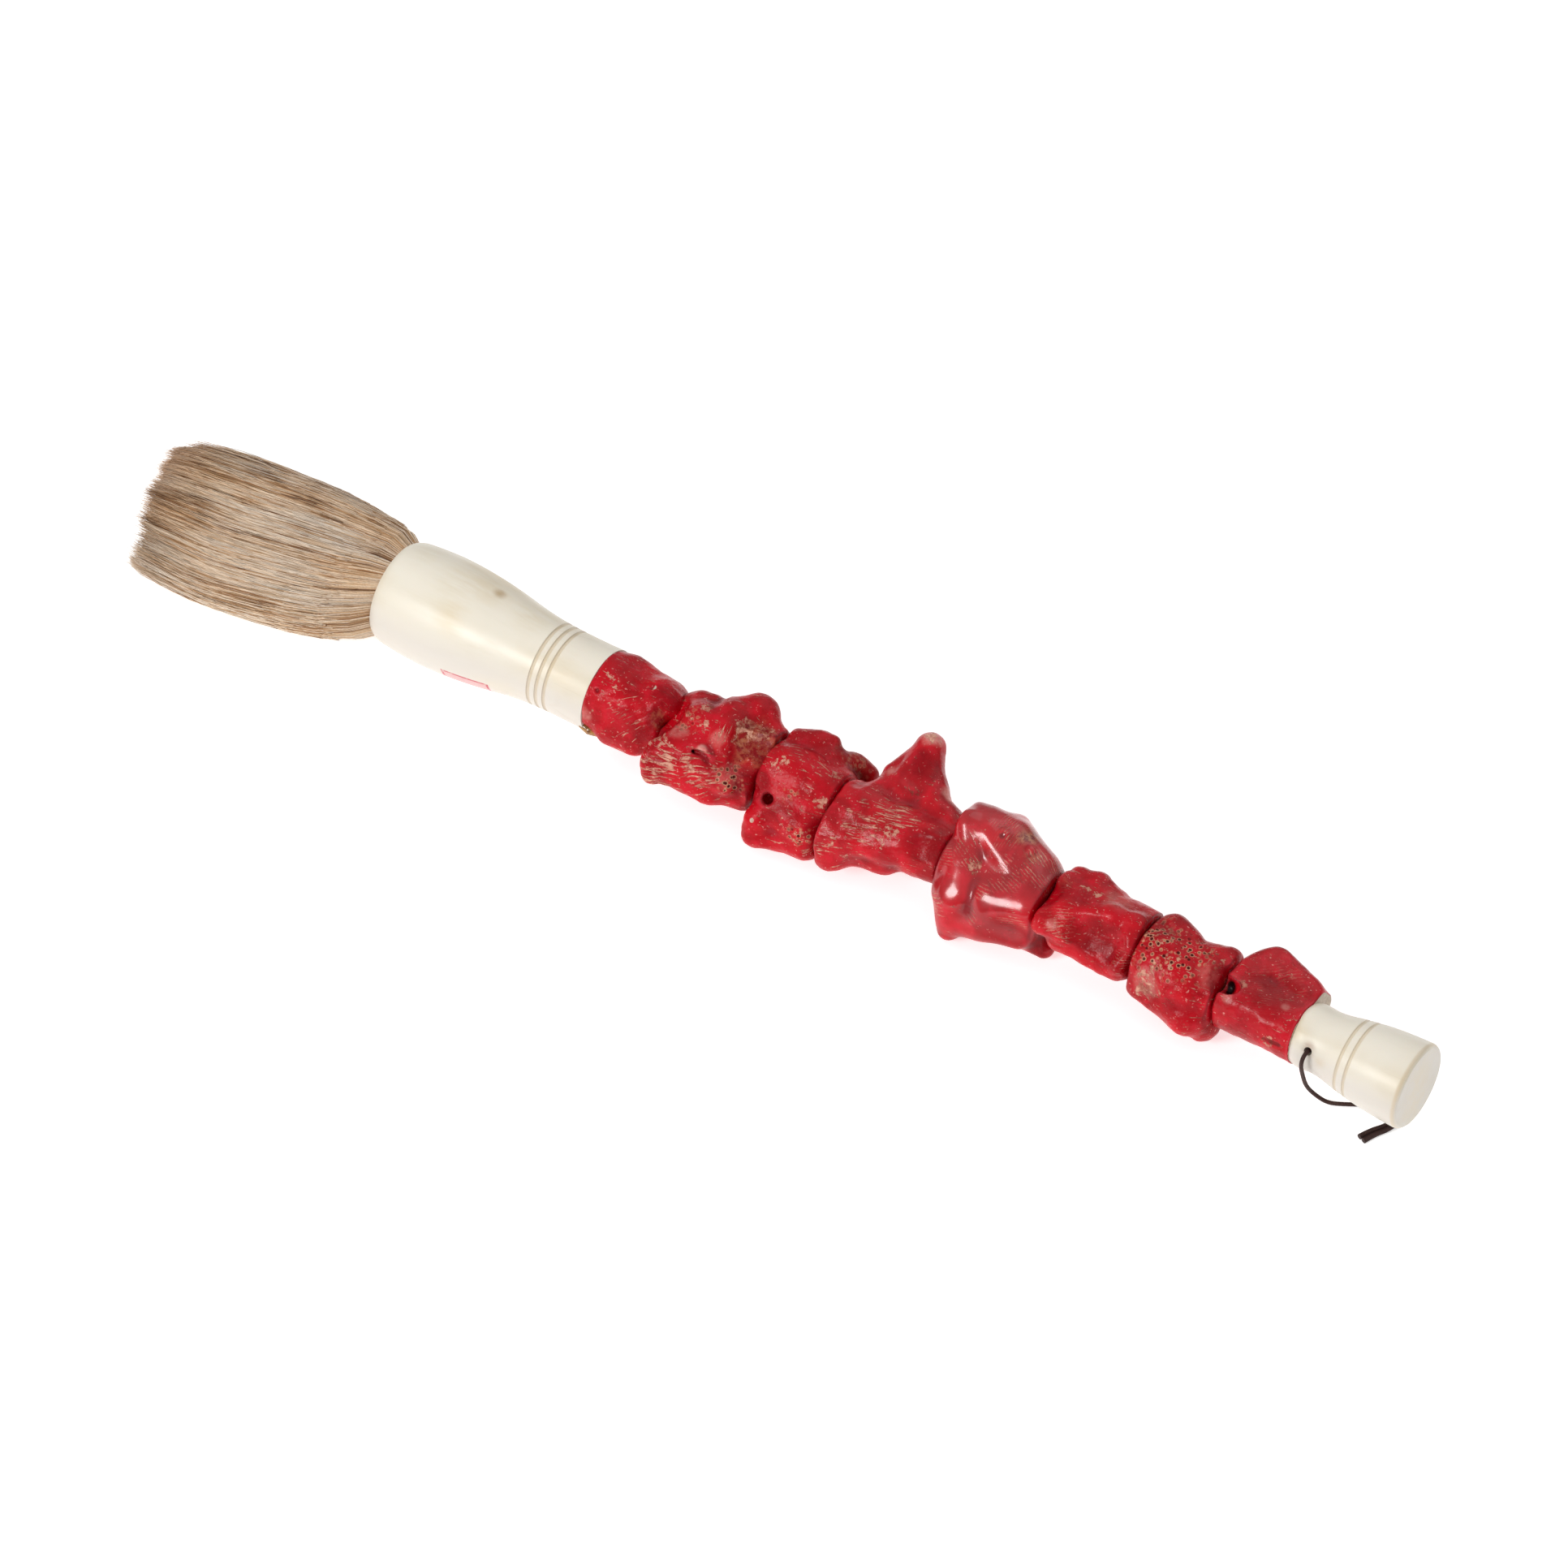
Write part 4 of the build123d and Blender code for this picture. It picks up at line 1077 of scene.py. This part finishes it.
def flowing(table, x):
    """The columns of a table at x, on a smooth line through its rows."""
    stations = table[:, 0]
    slopes = np.gradient(table[:, 1:], stations, axis=0)
    row = np.clip(np.searchsorted(stations, x) - 1, 0, len(stations) - 2)
    gap = (stations[row + 1] - stations[row])[:, None]
    share = (x - stations[row])[:, None] / gap
    rise = share * share * (3 - 2 * share)
    level = table[row, 1:] * (1 - rise) + table[row + 1, 1:] * rise
    bend = slopes[row] * share * (1 - share) ** 2 - slopes[row + 1] * share ** 2 * (1 - share)
    return level + bend * gap


def in_tuft(x, turn, reach):
    """Points of the tuft at station x, in direction turn, at a share of its half width."""
    across, height, half_width, half_height = flowing(TUFT, x).T
    y = across + reach * half_width * np.cos(turn)
    z = height + reach * half_height * np.sin(turn)
    return np.stack([x, y, z], 1)


def hair_marks(points, turn, strand):
    """How light, how warm and how near the tips the hair is at each point."""
    x = points[:, 0]
    flat = np.stack([TUFT_RADIUS * turn, x / 12, np.zeros(len(x))], 1)
    fine = cloud(flat / (0.5, 1.6, 1), 1.0, 41)
    locks = cloud(flat / (3.6, 2.4, 1), 1.0, 42)
    dark = smooth_step((cloud(flat / (0.7, 0.7, 1), 1.0, 43) - 0.42) / 0.25)
    tint = 0.86 + 0.34 * fine + 0.06 * locks + 1.1 * (strand - 0.5) - 0.36 * dark
    warm = 0.64 + 0.2 * cloud(flat / (5.0, 2.0, 1), 1.0, 44) - 0.4 * (strand - 0.5)
    up = (points - np.array([0.0, 0.0, AXIS_Z])) @ UP
    wander = 1.2 * cloud(flat / (2.0, 1.0, 1), 1.0, 45)
    for station, way_up, half_length, half_width, lighter, warmer in HAIR_LOCKS:
        away = np.hypot((x - station) / half_length, (up - way_up + wander) / half_width)
        inside = smooth_step(1.5 - away)
        tint += lighter * inside
        warm += 0.6 * warmer * inside
    tip = smooth_step((HAIR_TIP_X + 12 - x) / 14)
    return {"tint": np.clip(tint, 0, 1), "warm": np.clip(warm, 0, 1), "tip": tip}


def tubes(paths, radii):
    """Thin tubes along paths, an array of strands by stations by three."""
    count, stations, _ = paths.shape
    sides = HAIR_SIDES
    turns = 2 * pi * np.arange(sides) / sides
    ring = np.stack([np.zeros(sides), np.cos(turns), np.sin(turns)], 1)
    points = paths[:, :, None, :] + radii[:, :, None, None] * ring[None, None]
    first = np.arange(count)[:, None, None] * stations * sides
    station = np.arange(stations - 1)[None, :, None] * sides
    side = np.arange(sides)[None, None, :]
    after = (side + 1) % sides
    corners = [side, after, after + sides, side + sides]
    faces = np.stack([(first + station + corner).ravel() for corner in corners], 1)
    return points.reshape(-1, 3), faces


def strands(name, count, draw, start_x, reach, radius, seed, stations, stray=0.0):
    """Many single hairs. Draw, start_x and reach draw each hair's direction, its first station
    and its share of the tuft's half width. Stray is how far out some of them end."""
    random = np.random.default_rng(seed)
    turn = draw(random, count)
    start, end = start_x(random, turn), hair_end(random, turn)
    level = reach(random, turn)
    share = np.linspace(0, 1, stations)[None, :]
    x = start[:, None] + (end - start)[:, None] * share
    # Hairs gather into locks towards their ends.
    lock = np.round(turn / LOCK_TURN + 0.3 * np.sin(7 * turn)) * LOCK_TURN
    gather = 0.3 * random.random(count)[:, None] * share ** 2
    waves = 0.018 * np.sin(x / 9 + 6.3 * random.random(count)[:, None])
    drift = 0.05 * random.standard_normal(count)[:, None] * share ** 2
    turns = turn[:, None] + (lock - turn)[:, None] * gather + waves * share + drift
    lift = 0.025 * random.standard_normal(count)[:, None] * share ** 2
    lift = lift + stray * (random.random(count) ** 2)[:, None] * share
    levels = level[:, None] + lift + 0.012 * np.sin(x / 6 + 6.3 * random.random(count)[:, None])
    # No hair stands out of the tuft where the ferrule holds it.
    levels = np.where(x > MOUTH_X - 1, np.minimum(levels, 0.98), levels)
    paths = in_tuft(x.ravel(), turns.ravel(), levels.ravel()).reshape(count, stations, 3)
    paths[:, :, 2] = np.maximum(paths[:, :, 2], HAIR_CLEARANCE)
    thick = radius * (0.75 + 0.5 * random.random(count))[:, None]
    radii = thick * (1 - 0.75 * share ** 5)
    points, faces = tubes(paths, radii)
    strand = np.repeat(random.random(count), stations * HAIR_SIDES)
    marks = hair_marks(points, np.repeat(turns.ravel(), HAIR_SIDES), strand)
    near_ends = smooth_step((HAIR_TIP_X + 16 - x) / 10)
    shade = np.clip(levels + 0.5 * near_ends, 0, 1)
    marks["shade"] = np.repeat(shade.ravel(), HAIR_SIDES)
    return mesh_piece(name, points, faces, marks)


def hair_end(random, turn):
    """Where hairs in direction turn end: the tuft's far upper side is the longest."""
    slant = 2.0 + 5.4 * np.cos(turn - radians(183)) - 1.2 * np.cos(2 * turn - radians(150))
    ragged = np.maximum(3.4 + 1.7 * random.standard_normal(len(turn)), -1.2)
    return HAIR_TIP_X + slant + ragged + 0.7 * np.sin(5 * turn + 1) + 0.6 * np.sin(13 * turn)


def around(random, count):
    """Directions spread evenly round the tuft's outline."""
    return 2 * pi * random.random(count)


def far_side(random, count):
    """Directions on the tuft's far upper side."""
    return radians(35) + 0.5 * random.standard_normal(count)


def hair_body():
    """The tuft's mass of hair under the single hairs, with furrows along it."""
    stations, rounds = 90, 420
    share = np.linspace(0, 1, stations)
    x = MOUTH_X + 22 + (HAIR_TIP_X + 15 - MOUTH_X - 22) * share
    closing = np.sqrt(np.clip((share[-1] - share) * 60, 0, 1))
    reach = np.where(x > MOUTH_X, 0.97, 0.95) * np.maximum(closing, 0.02)
    turn = np.tile(np.linspace(0, 2 * pi, rounds, endpoint=False), stations)
    x, reach = np.repeat(x, rounds), np.repeat(reach, rounds)
    flat = np.stack([TUFT_RADIUS * turn / 0.9, x / 22, 0 * x], 1)
    reach = reach - 0.02 * (1 + cloud(flat, 1.0, 46)) * (x < MOUTH_X - 1)
    points = in_tuft(x, turn, reach)
    marks = hair_marks(points, turn, scatter(np.stack([turn * 60, 0 * x, 0 * x], 1), 47))
    marks["shade"] = np.full(len(x), 0.6)
    row = np.arange(stations - 1)[:, None] * rounds
    column = np.arange(rounds)[None, :]
    after = (column + 1) % rounds
    corners = [row + column, row + after, row + rounds + after, row + rounds + column]
    faces = np.stack([corner.ravel() for corner in corners], 1)
    return mesh_piece("hair_body", points, faces, marks)


def hair_paint():
    """Natural weasel-like hair: beige to brown from hair to hair, redder at the tips."""
    paint = Paint("natural_hair", Specular_IOR_Level=0.35)
    ramp = paint.node("ValToRGB", {"Fac": paint.attribute("tint")})
    stops = ((0.0, "5c4230"), (0.25, "a47e5c"), (0.5, "d0b492"), (0.75, "e8dac6"), (1.0, "faf4ea"))
    for place, colour in stops[:-1]:
        ramp.color_ramp.elements.new(place).color = rgb(colour)
    ramp.color_ramp.elements.remove(ramp.color_ramp.elements[0])
    ramp.color_ramp.elements[-1].color = rgb(stops[-1][1])
    warm = paint.mix(paint.attribute("warm"), rgb("e2e0e0"), rgb("ffe0ba"))
    colour = paint.mix(0.75, ramp.outputs[0], warm, "MULTIPLY")
    colour = paint.mix(paint.times(paint.attribute("tip"), 0.45), colour, rgb("cc9a78"))
    shade = paint.span(paint.attribute("shade"), 0.55, 0.97, 0.45, 1.0)
    dim = paint.node("CombineXYZ", {0: shade, 1: shade, 2: shade}).outputs[0]
    colour = paint.mix(1.0, colour, dim, "MULTIPLY")
    streak = paint.noise(1.0, detail=2.0, where=paint.place((150.0, 3200.0, 3200.0)))
    paint.set("Base Color", paint.mix(paint.span(streak, 0.3, 0.7, 0, 0.25), colour,
                                      rgb("8a6a4c")))
    paint.set("Roughness", paint.span(streak, 0.3, 0.7, 0.42, 0.62))
    paint.set("Normal", paint.bump(streak, 0.25, 0.0002))
    return paint.material


def from_root(random, turn):
    """The station of the root, for every hair."""
    return np.full(len(turn), HAIR_ROOT_X)


def all_through(random, turn):
    """Shares of the half width that fill the tuft evenly, from its middle out."""
    return 0.98 * np.sqrt(random.random(len(turn)))


def drawn(least, extra):
    """A function that draws a number from least to least + extra for each hair."""
    def draw(random, turn):
        return least + extra * random.random(len(turn))
    return draw


def add_hair():
    """The tuft: a body of hair, and several layers of single hairs over it."""
    halfway, near_tip = drawn(MOUTH_X - 8, -45), drawn(HAIR_TIP_X + 22, 8)
    # Name, number, directions, first stations, reach, radius, seed, stations and stray.
    layers = (
        ("hair_under", 1500, around, from_root, drawn(0.95, 0.015), 0.2, 1, 10),
        ("hair_outer", 3500, around, from_root, drawn(0.965, 0.03), 0.13, 2, 10),
        ("hair_upper", 4200, around, halfway, drawn(0.985, 0.02), 0.1, 3, 8),
        ("hair_tip", 5200, around, near_tip, all_through, 0.15, 4, 6),
        ("hair_stray", 380, far_side, drawn(HAIR_TIP_X + 20, 25), drawn(0.96, 0.03), 0.1, 5, 8,
         0.2),
    )
    pieces = [hair_body()] + [strands(*layer) for layer in layers]
    paint = hair_paint()
    for piece in pieces:
        dress(piece, paint)
        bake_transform(piece)
    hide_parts("tuft_core", "hair_root_core", "hair_root_outer")
    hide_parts("tuft_outer")


# ------------------------------------------------------------------ ferrule, cap and glue

FERRULE_GROOVES = tuple(MOUTH_X + behind for behind in (52.9, 55.5, 58.1))
CAP_GROOVES = tuple(CAP_MOUTH_X + behind for behind in (16.1, 19.1, 35.6))


def near_point(paint, point, radius):
    """1 at a point in millimetres, falling to 0 at that radius."""
    inputs = {0: paint.place(), 1: tuple(point * MM)}
    away = paint.node("VectorMath", inputs, operation="DISTANCE").outputs["Value"]
    return paint.span(away, 0.0, radius * MM, 1.0, 0.0)


def seal_mark(paint):
    """A blank seal on the ferrule: the outline of a rectangle, and a fainter inside."""
    first_x, last_x = MOUTH_X + 25, MOUTH_X + 40
    middle_turn, half_turn = radians(-146.5), radians(19)
    ferrule_radius, line, blur = 16.3, 0.8, 0.1
    x, across, height = paint.node("SeparateXYZ", {"Vector": paint.place()}).outputs
    turn = paint.sum(paint.sum(height, AXIS_Z * MM, "SUBTRACT"), across, "ARCTAN2")
    off_arc = paint.times(paint.distance(turn, middle_turn), ferrule_radius * MM)
    off_x = paint.distance(x, (first_x + last_x) / 2 * MM)
    from_side = paint.sum(off_x, (last_x - first_x) / 2 * MM, "SUBTRACT")
    from_end = paint.sum(off_arc, half_turn * ferrule_radius * MM, "SUBTRACT")
    outside = paint.most(from_side, from_end)
    whole = paint.span(outside, -blur * MM, blur * MM, 1.0, 0.0)
    inner = paint.span(outside, -(line + blur) * MM, -(line - blur) * MM, 1.0, 0.0)
    return whole, inner


def ivory_paint(name, grooves, stains, seal=False):
    """Polished bone: cream, with faint pores, growth lines, stains, a darker tan along its
    grooves, painted light on top and painted shade underneath.
    """
    paint = Paint(name, Subsurface_Weight=0.06, Subsurface_Scale=0.002)
    paint.set("Subsurface Radius", (1.0, 0.6, 0.35))
    broad = paint.noise(38.0, detail=3.0)
    streak = paint.noise(1.0, detail=4.0, rough=0.6, where=paint.place((45.0, 260.0, 260.0)))
    pore = paint.noise(2600.0, detail=2.0)
    colour = paint.mix(paint.span(broad, 0.35, 0.7), rgb("e9e1d0"), rgb("dfd3bc"))
    colour = paint.mix(paint.span(streak, 0.5, 0.75, 0, 0.22), colour, rgb("d2c4a8"))
    # Painted light makes the top paler, and painted shade makes the underside greyer.
    rise = paint.rise()
    colour = paint.mix(paint.span(rise, 0.78, 0.98, 0, 0.7), colour, rgb("f3ecdd"))
    colour = paint.mix(paint.span(rise, 0.1, 0.75, 0.85, 0), colour, rgb("d1cac1"))
    for point, radius, share, tone in stains:
        inside = paint.times(near_point(paint, point, radius), paint.span(streak, 0.25, 0.6))
        colour = paint.mix(paint.times(inside, share), colour, rgb(tone))
    x = paint.node("SeparateXYZ", {"Vector": paint.place()}).outputs[0]
    for groove in grooves:
        darkening = paint.span(paint.distance(x, groove * MM), 0.1 * MM, 0.9 * MM, 0.42, 0.0)
        colour = paint.mix(darkening, colour, rgb("c9b086"))
    cracks = paint.node("TexVoronoi", {"Vector": paint.place((14.0, 90.0, 90.0)), "Scale": 1.0},
                        feature="DISTANCE_TO_EDGE").outputs["Distance"]
    crack = paint.times(paint.span(cracks, 0.0, 0.012, 0.12, 0.0), paint.span(broad, 0.5, 0.62))
    colour = paint.mix(crack, colour, rgb("b39a76"))
    if seal:
        whole, inner = seal_mark(paint)
        frame_only = paint.sum(whole, inner, "SUBTRACT")
        broken = paint.span(paint.noise(700.0), 0.32, 0.5, 0.35, 0.95)
        colour = paint.mix(paint.times(inner, 0.6), colour, rgb("d98a92"))
        colour = paint.mix(paint.times(frame_only, broken), colour, rgb("c02c48"))
    paint.set("Base Color", colour)
    paint.set("Roughness", paint.span(streak, 0.3, 0.8, 0.36, 0.5))
    paint.set("Coat Weight", 0.1)
    paint.set("Coat Roughness", 0.25)
    fine = paint.bump(pore, 0.12, 0.0001)
    paint.set("Normal", paint.bump(paint.sum(streak, crack, "SUBTRACT"), 0.06, 0.0005, fine))
    return paint.material


def mottled_paint(name, dark, light, size, roughness, stretch=(1.0, 1.0, 1.0), **settings):
    """A plain material of two tones in patches of about that size, in millimetres."""
    paint = Paint(name, **settings)
    where = paint.place(tuple(part / (size * MM) for part in stretch))
    tone = paint.noise(1.0, detail=4.0, where=where)
    paint.set("Base Color", paint.mix(paint.span(tone, 0.3, 0.7), rgb(dark), rgb(light)))
    paint.set("Roughness", paint.span(tone, 0.3, 0.7, roughness - 0.08, roughness + 0.08))
    paint.set("Normal", paint.bump(tone, 0.4, size * MM / 6))
    return paint.material


def dress_node(node, paint):
    """Gives a CAD node that stays its finished material."""
    for material_slot in frame["nodes"][node].material_slots:
        material_slot.material = paint


def glue_shape(points):
    """A thin ring of glue in the seam, and the blob that ran out at the bead's corner."""
    start, end = ends("glue_seam")
    ring_x, ring_radius, ring_thickness = (start + end) / 2, 9.9, 0.9
    from_axis = np.hypot(points[:, 1], points[:, 2] - AXIS_Z)
    ring = np.hypot(points[:, 0] - ring_x, from_axis - ring_radius) - ring_thickness
    blob = chain(points, [(start - 0.8, -11.4, 2.6, 1.2), (end + 0.8, -11.8, 2.2, 1.5),
                          (end + 3.0, -11.8, 1.6, 1.1)])
    return merge(ring, blob, 0.8) + 0.12 * cloud(points, 1.6, 61)


def add_glue(paint):
    """The amber glue squeezed out between the ferrule and the first bone bead."""
    start, end = ends("glue_seam")
    low = np.array([start - 3.0, -15.0, AXIS_Z - 15.0])
    high = np.array([end + 6.0, 15.0, AXIS_Z + 15.0])
    surface, faces, _ = solid_mesh(glue_shape, low, high, VOXEL)
    piece = mesh_piece("amber_glue_squeezed", surface, faces)
    dress(piece, paint)
    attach(piece, "handle")
    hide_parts("glue_seam")


def finish_frame_nodes():
    """Finished materials for the CAD nodes that stay: the turned bone and what is inside."""
    ferrule_stains = (
        (spot(-103, 0, 16), 8, 0.45, "d9c49a"),
        (spot(-109, 7, 14), 9, 0.35, "dccba6"),
        (spot(-95, 11.8, 10), 3, 0.9, "a8885c"),
        (spot(-101, 13, 8), 15, 0.5, "d6c094"),
        (spot(-83, 10, 8), 10, 0.5, "d8c59c"),
        (spot(-66, 0, 12), 8, 0.35, "dcc9a6"),
        (spot(-120, 12, 9), 10, 0.3, "ddcfb2"),
        (spot(-85, -13, 5), 12, 0.25, "ded0b0"),
    )
    cap_stains = (
        (spot(CAP_END_X, 3, 4), 12, 0.5, "ded0b6"),
        (spot(CAP_MOUTH_X, 0, 9), 6, 0.4, "d8c4a0"),
        (spot(179.7, -3.6, 8.4), 3, 1.0, "8a5a34"),
        (spot(184.0, -5.6, 8.4), 3, 0.4, "cbb189"),
        (spot(CAP_END_X, -5, -4), 14, 0.5, "dccdb2"),
    )
    dress_node("ferrule", ivory_paint("ferrule_bone", FERRULE_GROOVES, ferrule_stains, seal=True))
    dress_node("end_cap", ivory_paint("cap_bone", CAP_GROOVES, cap_stains))
    amber = mottled_paint("amber_glue_set", "6e3d12", "c98f3a", 2.0, 0.2, Coat_Weight=0.6,
                          Transmission_Weight=0.25)
    for node in ("ferrule_adhesive", "cap_adhesive", "root_resin"):
        dress_node(node, amber)
    add_glue(amber)
    dress_node("handle_rod", mottled_paint("rod_wood_grain", "7d5733", "b98d5e", 1.2, 0.55,
                                           stretch=(0.1, 1, 1)))
    dress_node("root_binding", mottled_paint("binding_thread_fibre", "8f7450", "c9b084", 0.4, 0.7))


# ------------------------------------------------------------------ table, light and result

def add_table():
    """A plain pale table top under the brush."""
    half = 3.0
    level = CAD_BOX[0][2] - 0.00005
    corners = [(x * half, y * half, level) for x, y in ((-1, -1), (1, -1), (1, 1), (-1, 1))]
    mesh = bpy.data.meshes.new("table_top")
    mesh.from_pydata(corners, [], [(0, 1, 2, 3)])
    table = add_object("table_top", mesh)
    paint = Paint("table_white", Specular_IOR_Level=0.0)
    tone = paint.noise(30.0, detail=2.0)
    paint.set("Base Color", paint.mix(tone, rgb("f7f7f7"), rgb("fcfcfc")))
    paint.set("Roughness", paint.span(tone, 0.3, 0.7, 0.85, 0.95))
    paint.set("Emission Color", (1.0, 1.0, 1.0, 1.0))
    paint.set("Emission Strength", 0.52)
    dress(table, paint.material)


def add_light(name, place, size, power):
    """A soft box at a place in metres, pointed at the brush's middle."""
    light = bpy.data.lights.new(name, "AREA")
    light.shape = "RECTANGLE"
    light.size, light.size_y = size
    light.energy = power
    holder = add_object(name, light)
    toward = Vector((0.0, 0.0, 0.02)) - Vector(place)
    turned = toward.to_track_quat("-Z", "Y").to_matrix().to_4x4()
    holder.matrix_world = Matrix.Translation(place) @ turned


def add_lighting():
    """A white studio: light all round that dims at the horizon, and two soft boxes."""
    world = bpy.data.worlds.new("studio")
    world.use_nodes = True
    nodes, links = world.node_tree.nodes, world.node_tree.links
    direction = nodes.new("ShaderNodeTexCoord")
    parts = nodes.new("ShaderNodeSeparateXYZ")
    rise = nodes.new("ShaderNodeMapRange")
    rise.inputs["From Max"].default_value = 0.55
    rise.inputs["To Min"].default_value = 0.3
    links.new(direction.outputs["Generated"], parts.inputs[0])
    links.new(parts.outputs[2], rise.inputs["Value"])
    links.new(rise.outputs[0], nodes["Background"].inputs["Color"])
    nodes["Background"].inputs["Strength"].default_value = 0.62
    bpy.context.scene.world = world
    add_light("key_box", (-0.42, -1.25, 0.85), (0.52, 0.44), 11.5)
    add_light("back_fill", (0.1, 1.0, 1.3), (1.4, 1.4), 3.5)
    bpy.context.scene.view_settings.view_transform = "Standard"


add_camera()
add_cord()
finish_frame_nodes()
add_beads()
add_hair()
add_table()
add_lighting()
